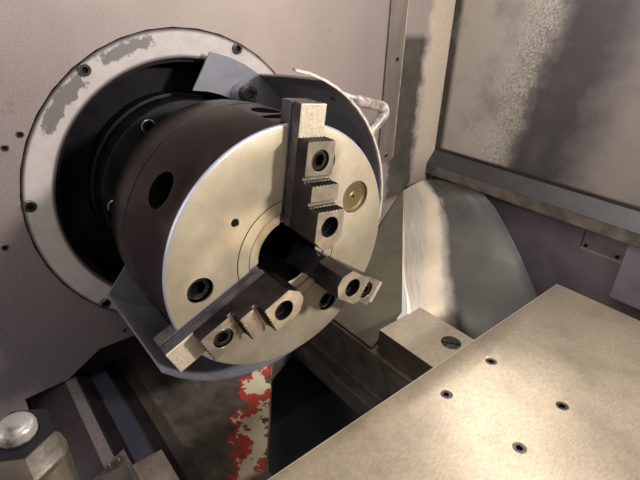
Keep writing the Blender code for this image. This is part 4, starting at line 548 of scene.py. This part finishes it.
for number, angle in enumerate(jaw_turns):
    stem = (slot_floor, slot_start, -stem_half), (past_slot, slot_end, stem_half)
    tee = (slot_floor, slot_start, -tee_half), (tee_front, slot_end, tee_half)
    guide = radial(guide_x, guide_floor, angle), radial(guide_x, past_side, angle)
    chuck_cuts.append(block_mesh(f"stem_{number}", *stem, angle))
    chuck_cuts.append(block_mesh(f"tee_{number}", *tee, angle))
    chuck_cuts.append(pin_mesh(f"guide_hole_{number}", *guide, guide_radius))
face_holes = [
    *((f"mount_hole_{n}", mount_floor, mount_circle, a, mount_radius) for n, a in enumerate(mount_turns)),
    ("disc_hole", disc_floor, disc_circle, disc_turn, disc_pocket_radius),
    ("pin_hole", pin_floor, pin_circle, pin_turn, pin_hole_radius),
]
for name, floor, circle, angle, radius in face_holes:
    hole = radial(floor, circle, angle), radial(past_face, circle, angle)
    chuck_cuts.append(pin_mesh(name, *hole, radius))
chuck_mesh = carve(chuck, chuck_cuts)
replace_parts(new_piece("chuck_body_turned", chuck_mesh, chuck_steel, "spindle"), "chuck_body")
pin_ends = radial(pin_floor, pin_circle, pin_turn), radial(215.4, pin_circle, pin_turn)
pin = pin_mesh("chuck_set_pin", *pin_ends, pin_radius, 24)
new_piece("chuck_set_pin", pin, blackened, "spindle")

# Bore bush: a ground ring pressed in the chuck's bore, slotted for the jaws.
# Its rim stands just under the face, with a dark line round it.
bush_profile = [(150, 34), (214, 34), (215, 35), (215, 43.4), (214.4, 44.2), (150, 44.2)]
bush = stand_up("bush", turned_mesh("bush", bush_profile, nose, steps=96))
gate = (140, slot_start, -stem_half), (past_slot, 60, stem_half)
gates = [block_mesh(f"gate_{number}", *gate, angle) for number, angle in enumerate(jaw_turns)]
bush_mesh = carve(bush, gates)
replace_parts(new_piece("chuck_bore_bush", bush_mesh, chuck_steel, "spindle"), "chuck_bush")

# Turned disc: a yellowish metal plug let into the face, with fine turning rings and a centre mark.
# It is pressed in a pocket, a little under the face.
disc_metal, shader, place = start_material("turned_brass_plug")
centred = vector_maths("SUBTRACT", place, radial(0, disc_circle, disc_turn))[0]
radius = from_axis(centred)
ring_radians_per_mm = 3.1
rings = ramp(maths("SINE", maths("MULTIPLY", radius, ring_radians_per_mm)), -1.0, 1.0)
colour = coat(coat("#978a66", "#c0b38f", rings), "#2e281c", zone(radius, -1, 1.6, 0.3))
surface(shader, colour, gloss(place, 8, 0.26, 0.4), rings, 0.04, 1.0)
disc_place = at(*radial(0, disc_circle, disc_turn))
disc_profile = [
    (208.3, 0), (208.3, 17.2), (212.8, 17.2), (213.3, 16.7), (213.3, 14), (212.5, 13.2), (212.5, 5),
    (213.2, 4.2), (213.2, 0),
]
disc_mesh = turned_mesh("turned_disc", disc_profile, disc_place, steps=64)
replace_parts(new_piece("turned_disc", disc_mesh, disc_metal, "spindle"), "chuck_disc")

# Jaws: hardened steel base jaws in the T-slots, each with a stepped and serrated top jaw screwed on it.
# Their fronts are ground bright and warm and their sides dark with oil, and colouring each face by the way it
# turns also paints light on the fronts and shade on the sides. Their edges are broken.
jaw_steel, shader, place = start_material("hardened_and_ground_jaw_steel")
normal = add_node(shader.id_data, "ShaderNodeNewGeometry").outputs["Normal"]
# The fronts are coloured bright and the sides dark by which way each face turns: partly ground and oily
# faces, partly painted light and shade.
fronts = ramp(axis_of(normal, "X"), 0.55, 0.8)
film = grain(place, 14, 0.35, 0.65, detail=5.0)
sides = coat("#242122", "#383436", film)
ground = coat("#998e7c", "#786e5f", film)
ground = coat(ground, "#060505", zone(axis_of(place, "X"), 258.4, 263, 0.3))
grinding = grain(place, 0.8, stretch=(1, 6, 1))
colour, metal = coat(sides, ground, fronts), ramp(fronts, 0, 1, 0.9, 0.45)
surface(shader, colour, gloss(place, 6, 0.28, 0.44), grinding, 0.015, metal)
slide_steel, shader, place = start_material("oiled_blue_grey_base_jaw_steel")
drag = grain(place, 3, detail=5.0)
colour = coat("#6a666a", "#474346", grain(place, 16, 0.35, 0.65))
end_face = zone(axis_of(place, "X"), 230.3, 234, 0.2)
colour = coat(colour, coat("#dccdb6", "#b5a78f", drag), end_face)
surface(shader, colour, gloss(place, 8, 0.26, 0.4), drag, 0.01, ramp(end_face, 0, 1, 0.75, 0.3))
for letter, angle in zip("abc", jaw_turns):
    rounded_copy(f"top_jaw_{letter}", 0.3, jaw_steel, 16)
    rounded_copy(f"base_jaw_{letter}", 0.6, slide_steel, 16)

# Cap screws: black oxide socket head screws in the ring, flange, chuck, jaws, plate, guard and sheet panels.
# Their turned rims are worn bright, and a node tree sets one screw out on a list of points.
oxide, shader, place = start_material("black_oxide_cap_screws")
worn_rim = add_node(shader.id_data, "ShaderNodeAttribute", attribute_name="worn").outputs["Fac"]
film = grain(place, 4, 0.4, 0.7)
edge_wear = grain(place, 5, 0.3, 0.5, 0.3, 1.0)
colour = coat(coat("#141316", "#2b2829", film), "#7d766f", worn_rim, edge_wear)
surface(shader, colour, gloss(place, 6, 0.26, 0.42), film, 0.02, 0.9)


def socket_screw(name, radius, height, socket, depth, steps=24):
    """A cap screw with its head on z = 0, in metres. Its rim carries the attribute worn."""
    form = bmesh.new()
    worn = form.verts.layers.float.new("worn")
    turns = [2 * math.pi * i / steps for i in range(steps)]
    hexagon = [socket / math.cos(turn % (math.pi / 3) - math.pi / 6) for turn in turns]
    lead = radius * 0.09
    levels = [
        ([radius] * steps, 0, 0),
        ([radius] * steps, height - lead, 1),
        ([radius - lead] * steps, height, 1),
        ([radius - lead * 2] * steps, height, 0),
        ([h * 1.1 for h in hexagon], height, 0.5),
        (hexagon, height - lead, 0),
        (hexagon, height - depth, 0),
    ]
    rows = []
    for radii, level, wear in levels:
        row = []
        for r, angle in zip(radii, turns):
            point = form.verts.new((r * math.cos(angle) * mm, r * math.sin(angle) * mm, level * mm))
            point[worn] = wear
            row.append(point)
        rows.append(row)
    for low, high in zip(rows, rows[1:]):
        for i in range(steps):
            form.faces.new((low[i], low[(i + 1) % steps], high[(i + 1) % steps], high[i]))
    form.faces.new(rows[-1])
    form.faces.new(rows[0][::-1])
    bmesh.ops.recalc_face_normals(form, faces=form.faces)
    return stand_up(name, mesh_of(name, form))


set_out = bpy.data.node_groups.new("set_out_on_points", "GeometryNodeTree")
for name, kind in (("Places", "Geometry"), ("Shape", "Object"), ("Turn", "Rotation"), ("Finish", "Material")):
    set_out.interface.new_socket(name, in_out="INPUT", socket_type="NodeSocket" + kind)
set_out.interface.new_socket("Set", in_out="OUTPUT", socket_type="NodeSocketGeometry")
given = add_node(set_out, "NodeGroupInput")
shape = add_node(set_out, "GeometryNodeObjectInfo", {"Object": given.outputs["Shape"], "As Instance": True})
on_points = {
    "Points": given.outputs["Places"],
    "Instance": shape.outputs["Geometry"],
    "Rotation": given.outputs["Turn"],
}
spread = add_node(set_out, "GeometryNodeInstanceOnPoints", on_points)
real = add_node(set_out, "GeometryNodeRealizeInstances", {"Geometry": spread.outputs["Instances"]})
finish = {"Geometry": real.outputs["Geometry"], "Material": given.outputs["Finish"]}
painted = add_node(set_out, "GeometryNodeSetMaterial", finish)
add_node(set_out, "NodeGroupOutput", {"Set": painted.outputs["Geometry"]})


def set_row(name, shape, places, body, facing=(1, 0, 0)):
    """Copies of one screw on places in the lathe's millimetres. Their z axes all point along facing."""
    points = bpy.data.meshes.new(name)
    points.from_pydata([at(*place) for place in places], [], [])
    holder = stand_up(name, points)
    nodes = holder.modifiers.new("set_out", "NODES")
    nodes.node_group = set_out
    sockets = {item.name: item.identifier for item in set_out.interface.items_tree if item.in_out == "INPUT"}
    nodes[sockets["Shape"]] = shape
    nodes[sockets["Turn"]] = Vector(facing).to_track_quat("Z", "Y").to_euler()[:]
    nodes[sockets["Finish"]] = oxide
    new_piece(name, settle(holder), oxide, body)


m8 = socket_screw("screw_m8", 6.2, 4.0, 3.0, 3.2)
m12 = socket_screw("screw_m12", 8.4, 7.5, 4.6, 5.5)
m14 = socket_screw("screw_m14", 11.2, 15.0, 6.4, 7.0)
m6 = socket_screw("screw_m6", 5.2, 3.4, 2.5, 2.6)
m5 = socket_screw("screw_m5", 3.4, 1.6, 1.6, 1.2)
ring_face, ring_circle, flange_face, flange_circle, jaw_face, jaw_circle = 2.1, 179, 7.8, 98, 237.2, 99
ring_turns = [math.radians(a) for a in (14, 64.4, 123.7, 173.7, 224, 274, 324)]
set_row("ring_screws", m8, [radial(ring_face, ring_circle, a) for a in ring_turns], "machine")
flange_turns = [math.radians(118.5 + 60 * i) for i in range(6)]
flange_places = [radial(flange_face, flange_circle, a) for a in flange_turns]
set_row("flange_screws", m12, flange_places, "machine")
set_row("chuck_screws", m14, [radial(196.2, mount_circle, a) for a in mount_turns], "spindle")
for letter, angle in zip("abc", jaw_turns):
    set_row(f"jaw_screw_{letter}", m12, [radial(jaw_face, jaw_circle, angle)], f"jaw_{letter}")

# Chuck guard: bent 2.5 mm sheet, welded and sprayed dark blue grey, on a pivot bolt with a bent tube handle.
# The upper part of its front rim carries a painted highlight in patches, its sheet is scratched, and the
# handle is worn to pale metal on top.
guard_enamel, shader, place = start_material("scratched_blue_grey_enamel")
radius = from_axis(place)
scratch = grain(place, 7, 0.6, 0.68, 0, 0.7, 8.0, 0.75, (1, 1, 0.35))
colour = coat(coat("#78787e", "#5f5e65", grain(place, 70)), "#a39a92", scratch)
colour = coat(colour, "#a79a8a", grain(place, 1.6, 0.72, 0.76, 0, 0.7, 4.0))
# Painted highlight: the upper part of the front rim is coloured pale in patches, where light falls on it.
lit_front_rim = zone(axis_of(place, "X"), 177.2, 184, 1.2)
upper = zone(axis_of(place, "Z"), -30, 400, 20)
colour = coat(colour, "#c9beb0", lit_front_rim, upper, grain(place, 10, 0.3, 0.45))
surface(shader, colour, gloss(place, 18, 0.32, 0.5), scratch, 0.06, 0.25)
rounded_copy("chuck_guard", 0.7, guard_enamel)
worn_tube, shader, place = start_material("hand_worn_painted_tube")
rubbed = grain(place, 14, 0.42, 0.56, detail=6.0)
colour = coat(coat("#716862", "#b5a99c", rubbed), "#393435", grain(place, 7, 0.62, 0.7, 0, 0.6, 6.0))
surface(shader, colour, gloss(place, 9, 0.3, 0.46), rubbed, 0.03, 0.2)
rounded_copy("guard_handle", 0.3, worn_tube, 50)
for name, degrees in (("handle_screw_low", 24.2), ("handle_screw_high", 49.4)):
    angle = math.radians(degrees)
    inward = (0, -math.cos(angle), -math.sin(angle))
    set_row(name, m5, [radial(150, 163.3, angle)], "chuck_guard", inward)

# Headstock wall: 3 mm sheet between the headstock and the work space, with a joint strip over its right edge.
# Its pale enamel is painted darker and greyer toward the lower left as shade, and oil has run down beside the
# strip.
wall_enamel, shader, place = start_material("dusty_pale_wall_enamel")
across, level = axis_of(place, "Y"), axis_of(place, "Z")
depth_line = vector_maths("DOT_PRODUCT", place, (0, 0.75, 1))["Value"]
# Painted shade: the wall darkens toward the lower left, where less light falls on it.
darkening = ramp(maths("ADD", depth_line, grain(place, 120, 0.2, 0.8, -50, 50, 5.0)), 250, -300, 0, 0.88)
colour = coat(coat("#948478", "#82736a", grain(place, 90)), "#5f5650", ramp(across, 120, 300))
colour = coat(colour, "#34323d", darkening)
sand = grain(place, 1.7, 0.35, 0.65, 0, 0.5, 5.0, 0.8)
colour = coat(colour, coat("#6f6260", "#b3a49b", grain(place, 1.3, 0.4, 0.6, detail=5.0, rough=0.8)), sand)
specks = grain(place, 3, 0.7, 0.74, 0, 0.9, 5.0)
colour = coat(colour, "#2a2625", specks, grain(place, 70, 0.45, 0.6))
smudge = grain(place, 26, 0.62, 0.67, 0, 0.75, 9.0, 0.72)
colour = coat(colour, "#3c3735", smudge, grain(place, 160, 0.5, 0.6))
oil_side = maths("ADD", across, grain(place, 34, 0.2, 0.8, -14, 14, 5.0))
oil = zone(oil_side, 372, 432, 5)
colour = coat(colour, "#2d2921", oil, zone(level, -112, 166, 6), grain(place, 30, 0.25, 0.6, 0.8, 1, 6.0))
dust = zone(oil_side, 442, 520, 6)
colour = coat(colour, "#958876", dust, zone(level, -60, 260, 30), grain(place, 7, 0.35, 0.6, 0.7, 1, 7.0))
surface(shader, colour, gloss(place, 60, 0.4, 0.58), specks, 0.08)
dress(wall_enamel, "headstock_wall")
strip_enamel, shader, place = start_material("dusty_joint_strip_enamel")
colour = coat("#655b51", "#463f37", grain(place, 34, detail=6.0, stretch=(1, 1, 5)))
colour = coat(colour, "#4d463c", grain(place, 9, 0.6, 0.68, 0, 0.7, 7.0))
colour = coat(colour, "#9a8f7f", zone(axis_of(place, "Y"), 377.6, 380, 0.4), grain(place, 14, 0.35, 0.55))
surface(shader, colour, gloss(place, 30, 0.36, 0.55), grain(place, 3), 0.06)
dress(strip_enamel, "wall_cover_strip")
strip_places = [(3.2, 364.7, 134.1), (3.2, 359.8, -21.8), (3.2, 361, 300)]
set_row("strip_screws", m5, strip_places, "machine")
wall_places = [(0.1, -169, 93), (0.1, -184.5, 82), (0.1, -210, -20), (0.1, -112, -176)]
set_row("wall_screws", m5, wall_places, "machine")

# Rear panel: painted sheet behind the work space, warm grey at the corner and greyer further on.
# Dust and oil lie on it in a speckled upright band, and the corner joint is dark.
rear_enamel, shader, place = start_material("dusty_warm_grey_enamel")
lean = vector_maths("DOT_PRODUCT", place, (1, 0, -0.17))["Value"]
lean = maths("ADD", lean, grain(place, 30, 0.2, 0.8, -18, 18, 6.0))
further = ramp(lean, 95, 170)
far_light = ramp(lean, 225, 300, 0, 0.9)
colour = coat(coat("#9c928a", "#3f3b3c", further), "#7f7670", far_light)
colour = coat(colour, "#55504e", grain(place, 70, 0.5, 0.7, 0, 0.6, 6.0))
band = zone(lean, 94, 146, 9)
colour = coat(colour, "#a39a91", band, grain(place, 3.2, 0.46, 0.54, detail=8.0, rough=0.8))
colour = coat(colour, "#2f2c2b", band, grain(place, 2.6, 0.56, 0.62, 0, 0.85, 7.0, 0.75))
colour = coat(colour, "#4a4442", grain(place, 3, 0.7, 0.74, 0, 0.9, 5.0))
corner_dust = zone(axis_of(place, "X"), 50, 140, 14), zone(axis_of(place, "Z"), -30, 30, 12)
colour = coat(colour, "#a89f95", *corner_dust, grain(place, 5, 0.35, 0.6))
colour = coat(colour, "#2f2b28", zone(axis_of(place, "X"), -5, 16, 5), grain(place, 40, 0.2, 0.5, 0.5, 1))
# Painted shade and painted light on the folded lip at the panel's foot: a dark band, with a paler lit band on
# its lower part.
lip_shade_band = zone(axis_of(place, "Z"), -120, -30, 2)
colour = coat(colour, coat("#2b2726", "#1f1c1b", grain(place, 25)), lip_shade_band)
colour = coat(colour, "#6c635a", zone(axis_of(place, "Z"), -120, -60.5, 0.5), grain(place, 40, 0.25, 0.6))
outside = ramp(axis_of(place, "Y"), 514, 516)
end_outside = ramp(axis_of(place, "X"), 1327, 1328)
cream = coat("#d1cbbd", "#c0b8a8", grain(place, 420, 0.35, 0.65))
colour = coat(coat(colour, cream, outside), cream, end_outside)
surface(shader, colour, gloss(place, 80, 0.34, 0.52), grain(place, 5, 0.4, 0.7), 0.06)
dress(rear_enamel, "rear_panel", "right_end_panel")

# Lower rear panel and its hatch: dark enamelled sheet low in the machine, behind the chute.
# It darkens to nearly black lower down, and is grey enamel outside. The hatch stands on four screws.
low_enamel, shader, place = start_material("oily_dark_enamel_sheet")
colour = coat("#7d7376", "#655d66", grain(place, 60))
colour = coat(colour, "#1b1819", ramp(axis_of(place, "Z"), -150, -340))
colour = coat(colour, "#8f8578", grain(place, 3, 0.66, 0.72, 0, 0.5, 6.0), grain(place, 60, 0.5, 0.65))
grey = coat("#63656a", "#4f5156", grain(place, 420, 0.35, 0.65))
colour = coat(colour, grey, ramp(axis_of(place, "Y"), 504.5, 505.5))
surface(shader, colour, gloss(place, 50, 0.3, 0.5), grain(place, 4, 0.4, 0.7), 0.08)
dress(low_enamel, "rear_lower_panel")
hatch_enamel, shader, place = start_material("dusty_grey_hatch_enamel")
colour = coat("#7d7476", "#655d60", grain(place, 30))
# Painted shade: a dark line along the hatch's left edge.
colour = coat(colour, "#171515", zone(axis_of(place, "X"), 290, 300.6, 0.2))
# Painted highlight: a pale line along the hatch's lower edge.
colour = coat(colour, "#a59b90", zone(axis_of(place, "Z"), -130, -118.6, 0.3))
surface(shader, colour, gloss(place, 30, 0.34, 0.5), grain(place, 4), 0.05)
dress(hatch_enamel, "service_hatch")
hatch_places = [(x, 501.4, z) for x in (307, 353) for z in (-113, -76)]
set_row("hatch_screws", m5, hatch_places, "machine", (0, -1, 0))

# Chute: one sheet of brushed stainless, bent in a long twist that leads down to the tray.
# A pale band painted as a highlight runs down it, its far part is painted dark as shade, oil streaks its top
# and its seam, and its near edge carries a bright painted highlight.
near_edge = [
    (0.3, 418, -104), (31.8, 388.5, -135.5), (62.6, 360, -167),
    (120.8, 297, -183.2), (179, 247, -212.4), (177, 234, -300.4),
]
far_edge = [
    (60.2, 479, -82.1), (135, 479, -83.8), (200, 479, -140),
    (258, 479, -211.7), (339.7, 479, -317.1), (430, 479, -432),
]
chute_bulge = 14
chute_sheet = 1.5
chute_rows = 60
chute_columns = 28


def through(points, share):
    """A place on a smooth curve through points. share runs from 0 to one less than their number."""
    i = min(int(share), len(points) - 2)
    t = share - i
    a, b, c, d = (Vector(points[max(0, min(k, len(points) - 1))]) for k in (i - 1, i, i + 1, i + 2))
    square, cube = 2 * a - 5 * b + 4 * c - d, 3 * b - a - 3 * c + d
    return 0.5 * (2 * b + (c - a) * t + square * t * t + cube * t ** 3)


form = bmesh.new()
shares = form.loops.layers.uv.new("shares")
grid = []
for row in range(chute_rows + 1):
    t = row / chute_rows * (len(near_edge) - 1)
    low, high = through(near_edge, t), through(far_edge, t)
    line = []
    for column in range(chute_columns + 1):
        s = column / chute_columns
        point = low.lerp(high, s) + Vector((0, 0, chute_bulge * math.sin(math.pi * s)))
        line.append((form.verts.new(point), s, t))
    grid.append(line)
for upper, lower in zip(grid, grid[1:]):
    for column in range(chute_columns):
        corners = (upper[column], lower[column], lower[column + 1], upper[column + 1])
        face = form.faces.new([corner[0] for corner in corners])
        for loop, corner in zip(face.loops, corners):
            loop[shares].uv = (corner[1], corner[2])
form.transform(Matrix.Translation(nose) @ Matrix.Scale(mm, 4))
thin = stand_up("chute_face", mesh_of("chute_face", form))
thickness = thin.modifiers.new("thickness", "SOLIDIFY")
thickness.thickness = chute_sheet * mm
thickness.offset = 0.0
chute_mesh = settle(thin)
chute_steel, shader, place = start_material("oil_streaked_stainless_chute")
own = add_node(shader.id_data, "ShaderNodeUVMap", uv_map="shares").outputs["UV"]
side, row = axis_of(own, "X"), axis_of(own, "Y")
brushing = grain(own, 0.01, detail=5.0, stretch=(1, 60, 1))
slope = ramp(row, 1.0, 4.0, 0.0, 0.2)
drift = grain(place, 30, 0.2, 0.8, -0.025, 0.025, 5.0)
lane = maths("ADD", maths("ADD", side, slope), drift)
# Painted shade: the far part of the sheet, beyond the highlight band, is dark.
colour = coat(coat("#b4aa9b", "#958b7f", brushing), "#35312d", zone(lane, 0.45, 2, 0.05))
# Painted highlight: a pale band runs down the sheet where its bend catches the light.
colour = coat(colour, "#b5a68f", zone(lane, 0.28, 0.40, 0.03), grain(place, 12, 0.25, 0.5, 0.5, 1, 6.0))
streaks = grain(own, 0.07, 0.5, 0.58, detail=6.0, stretch=(1, 14, 1))
upper_part = zone(row, -1, 1.6, 0.6)
colour = coat(colour, "#262220", streaks, upper_part, zone(lane, 0.44, 2, 0.03))
colour = coat(colour, "#1e1b1a", zone(side, 0.93, 2, 0.04), grain(place, 25, 0.2, 0.5, 0.5, 1))
# Painted highlight: a bright line along the near edge, where the fold catches the light.
colour = coat(colour, "#dccfb8", zone(side, -1, 0.015, 0.006))
surface(shader, colour, gloss(place, 25, 0.48, 0.6), brushing, 0.02, 0.4)
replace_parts(new_piece("chute_sheet", chute_mesh, chute_steel, "machine"), "chute")

# Way cover: zinc-plated and yellow-passivated sheet bent over the rear guide beside the chute.
# Its satin plating is golden olive, with dark handling marks.
yellow_zinc, shader, place = start_material("yellow_passivated_zinc_sheet")
colour = coat("#6c6657", "#575244", grain(place, 60, detail=5.0))
colour = coat(colour, "#494131", grain(place, 8, 0.6, 0.7, 0, 0.6, 7.0, 0.7))
surface(shader, colour, gloss(place, 30, 0.36, 0.5), grain(place, 4), 0.03, 0.55)
rounded_copy("way_cover", 0.4, yellow_zinc)

# Saddle: cast iron carriage on the bed, oily and speckled, and planed bright on top of its rear wing, whose
# upward faces are also painted lighter as lit faces.
# A grey plate holds a way wiper on its end face, and a slotted plug closes a hole in the wing.
planed_iron, shader, place = start_material("oily_machined_cast_iron")
grey = grain(place, 30, 0.35, 0.65, detail=6.0, rough=0.65)
colour = coat("#7a6e61", "#5a5047", grey)
colour = coat(colour, "#352e29", grain(place, 4, 0.58, 0.68, 0, 0.8, 7.0, 0.7))
colour = coat(colour, "#b5a893", grain(place, 1.6, 0.68, 0.73, 0, 0.7, 4.0))
normal = add_node(shader.id_data, "ShaderNodeNewGeometry").outputs["Normal"]
# Painted light: faces turned upward on the rear wing are coloured lighter, partly planed bright and partly
# lit from above.
planed_and_lit_tops = ramp(axis_of(normal, "Z"), 0.8, 0.95)
wing = ramp(axis_of(place, "Y"), 148, 150)
planed = coat("#c3b59f", "#9c8f7c", grain(place, 2.4, detail=6.0, rough=0.75, stretch=(1, 6, 1)))
surface(shader, coat(colour, planed, planed_and_lit_tops, wing), gloss(place, 22, 0.36, 0.56), grey, 0.1, 0.6)
rounded_copy("saddle", 0.8, planed_iron)
wiper_steel, shader, place = start_material("grey_wiper_plate")
colour = coat("#5c5654", "#423c3b", grain(place, 14))
colour = coat(colour, "#b3a89c", zone(axis_of(place, "Z"), -260, -233.5, 1))
surface(shader, colour, gloss(place, 12, 0.3, 0.45), grain(place, 3), 0.03, 0.5)
rounded_copy("front_way_wiper", 0.6, wiper_steel)
plug_centre, plug_top, plug_turn = (277.8, 216.4), -181, math.radians(35)
plug_profile = [(-185, 0), (-185, 12.6), (-181.8, 12.6), (-181.2, 12), (-181.2, 0)]
plug = stand_up("plug", turned_mesh("plug", plug_profile, at(*plug_centre, 0), "z", 48))
form = bmesh.new()
bmesh.ops.create_cube(form, size=1)
slot_length, slot_width, slot_depth = 0.03, 0.0022, 0.003
slot_size = Matrix.Diagonal((slot_length, slot_width, slot_depth, 1))
slot_place = Matrix.Translation(at(*plug_centre, plug_top)) @ Matrix.Rotation(plug_turn, 4, "Z")
form.transform(slot_place @ slot_size)
plug_mesh = carve(plug, [mesh_of("plug_slot", form)])
new_piece("saddle_slotted_plug", plug_mesh, bolt_steel, "saddle")

# Cross slide: cast iron slide across the saddle, with a ground steel plate screwed on top.
# The plate is mottled and brushed, with a bright lip on its left edge and four black cap screws.
rounded_copy("cross_slide", 0.8, planed_iron)
ground_plate, shader, place = start_material("mottled_ground_steel_plate")
fleck = grain(place, 2.0, detail=6.0, rough=0.75)
across_brush = grain(place, 1.3, detail=6.0, rough=0.7, stretch=(1, 5, 1))
colour = coat("#c6b8a2", "#a29581", across_brush)
colour = coat(colour, "#8a7f70", grain(place, 60, 0.45, 0.7, 0, 0.6, 6.0))
colour = coat(colour, "#e6dccb", grain(place, 2.2, 0.6, 0.7, 0, 0.45, 6.0, 0.75))
colour = coat(colour, "#5b5142", grain(place, 5, 0.66, 0.7, 0, 0.7, 8.0, 0.7))
colour = coat(colour, "#f0e8da", zone(axis_of(place, "X"), 300, 342.8, 0.4))
surface(shader, colour, grain(place, 2.4, 0.3, 0.7, 0.36, 0.52, 6.0, 0.75), fleck, 0.04, 0.85)
rounded_copy("cross_slide_plate", 0.5, ground_plate)
plate_places = [(x, y, -103.9) for x in (371.8, 444.6) for y in (64.3, 136.2)]
set_row("plate_screws", m6, plate_places, "cross_slide", (0, 0, 1))

# Tool post: blackened steel post on the cross slide, with a shank tool held by a hexagon nut on a stud.
# The nut is oily and dark on top, and the stud's end is worn whitish.
post_steel, shader, place = start_material("blackened_tool_post_steel")
colour = coat("#2e2b2b", "#4a4542", grain(place, 14, 0.4, 0.65, detail=5.0))
stud_end = zone(axis_of(place, "Z"), 95.6, 110, 0.3)
colour = coat(colour, "#8f8a86", stud_end, grain(place, 7, 0.3, 0.5, 0.2, 1, 3.0))
surface(shader, colour, gloss(place, 9, 0.3, 0.46), grain(place, 2), 0.03, 0.5)
rounded_copy("tool_post", 0.8, post_steel)
tool_steel, shader, place = start_material("dark_tool_shank_steel")
colour = coat("#38342f", "#6a6257", grain(place, 12, 0.45, 0.65, detail=6.0))
colour = coat(colour, "#a2988a", grain(place, 4, 0.64, 0.7, 0, 0.8, 6.0, stretch=(3, 1, 1)))
surface(shader, colour, gloss(place, 8, 0.3, 0.44), grain(place, 2), 0.03, 0.9)
rounded_copy("turning_tool", 0.4, tool_steel)
nut_steel, shader, place = start_material("worn_hexagon_nut_steel")
colour = coat("#6f675d", "#544d47", grain(place, 9))
colour = coat(colour, "#26242a", zone(axis_of(place, "Z"), 94.4, 96, 0.3))
surface(shader, colour, gloss(place, 5, 0.3, 0.45), grain(place, 2), 0.03, 0.8)
rounded_copy("clamp_nut", 0.5, nut_steel)

# Tailstock: enamelled casting that slides on the rear of the bed, with a black handwheel on its quill screw.
# Its enamel is cream, chipped to dark iron in spots.
cream_enamel = enamel("cream_machine_enamel", "#d1cbbd", "#c0b8a8", "#9a9284")
chipped_enamel = enamel("chipped_cream_enamel_on_iron", "#c8c0ae", "#b1a893", "#5a5348")
rounded_copy("tailstock", 2.0, chipped_enamel)

# Enclosure: folded and welded sheet round the headstock and along the front, with a louvred end cover.
# It is sprayed in cream machine enamel, a little greyer in broad patches.
dress(cream_enamel, "headstock_housing", "end_cover", "front_panel")

# Sliding door: enamelled frame on two rails, with a clear window and a black plastic grip.
# The pane is polycarbonate with fine cleaning scratches.
dress(cream_enamel, "sliding_door")
pane, shader, place = start_material("clear_polycarbonate_pane")
haze = grain(place, 6, 0.5, 0.72, 0, 1, 8.0, 0.75)
surface(shader, coat("#dfe6e4", "#c3c9c6", haze), grain(place, 5, 0.4, 0.72, 0.06, 0.2, 8.0), haze, 0.01)
fill(shader, {"Transmission Weight": 0.9, "IOR": 1.58})
dress(pane, "door_window")
grip, shader, place = start_material("moulded_black_plastic_grip")
colour = coat("#1b1b1d", "#35343a", grain(place, 25, 0.5, 0.7))
surface(shader, colour, gloss(place, 20, 0.4, 0.55), grain(place, 1.2), 0.05)
dress(grip, "door_handle", "override_knob")

# Control panel: enamelled steel box on the front, with a dark glass screen and a field of plastic keys.
# A red mushroom switch, a green start button and a black override knob stand on its right.
panel_enamel, shader, place = start_material("blue_grey_panel_enamel_and_grey_keys")
colour = coat("#5b6067", "#50545b", grain(place, 200))
colour = coat(colour, "#858481", grain(place, 20, 0.62, 0.7, 0, 0.7, 8.0))
key_plastic = coat("#c9c6bd", "#a29e95", grain(place, 12, 0.45, 0.7, detail=5.0))
colour = coat(colour, key_plastic, zone(axis_of(place, "Y"), -520, -505.9, 0.15))
surface(shader, colour, gloss(place, 10, 0.35, 0.5), grain(place, 3.5), 0.04)
rounded_copy("control_panel", 0.2, panel_enamel)
glass, shader, place = start_material("dark_screen_glass")
smear = grain(place, 30, 0.45, 0.7, 0, 1, 7.0)
surface(shader, coat("#0a0d12", "#1d2127", smear), grain(place, 24, 0.4, 0.7, 0.07, 0.22), smear, 0.005)
screen_mesh = block_mesh("panel_screen", (-549.5, -501.6, 150.5), (-270.5, -499.5, 359.5))
new_piece("panel_screen", screen_mesh, glass, "machine")
for name, code, node, slot in (
    ("moulded_red_plastic", "#a3191a", "emergency_stop", "red_plastic"),
    ("moulded_green_plastic", "#1c7438", "start_button", "green_plastic"),
):
    plastic, shader, place = start_material(name)
    touch = grain(place, 9, 0.5, 0.72, 0, 0.6, 6.0)
    surface(shader, coat(code, "#3a3434", touch), gloss(place, 8, 0.3, 0.45), touch, 0.03)
    rounded_copy(node, 0.8, plastic)

# Drives: enamelled spindle motor behind the headstock, and a servo motor at the right end of the bed screw.
# Both are cast housings in dark grey enamel, dusty in broad patches.
dress(enamel("dark_grey_motor_enamel", "#44484e", "#33363a", "#7b7872"), "main_motor", "bed_servo_motor")

for shape in (m5, m6, m8, m12, m14):
    bpy.data.objects.remove(shape, do_unlink=True)
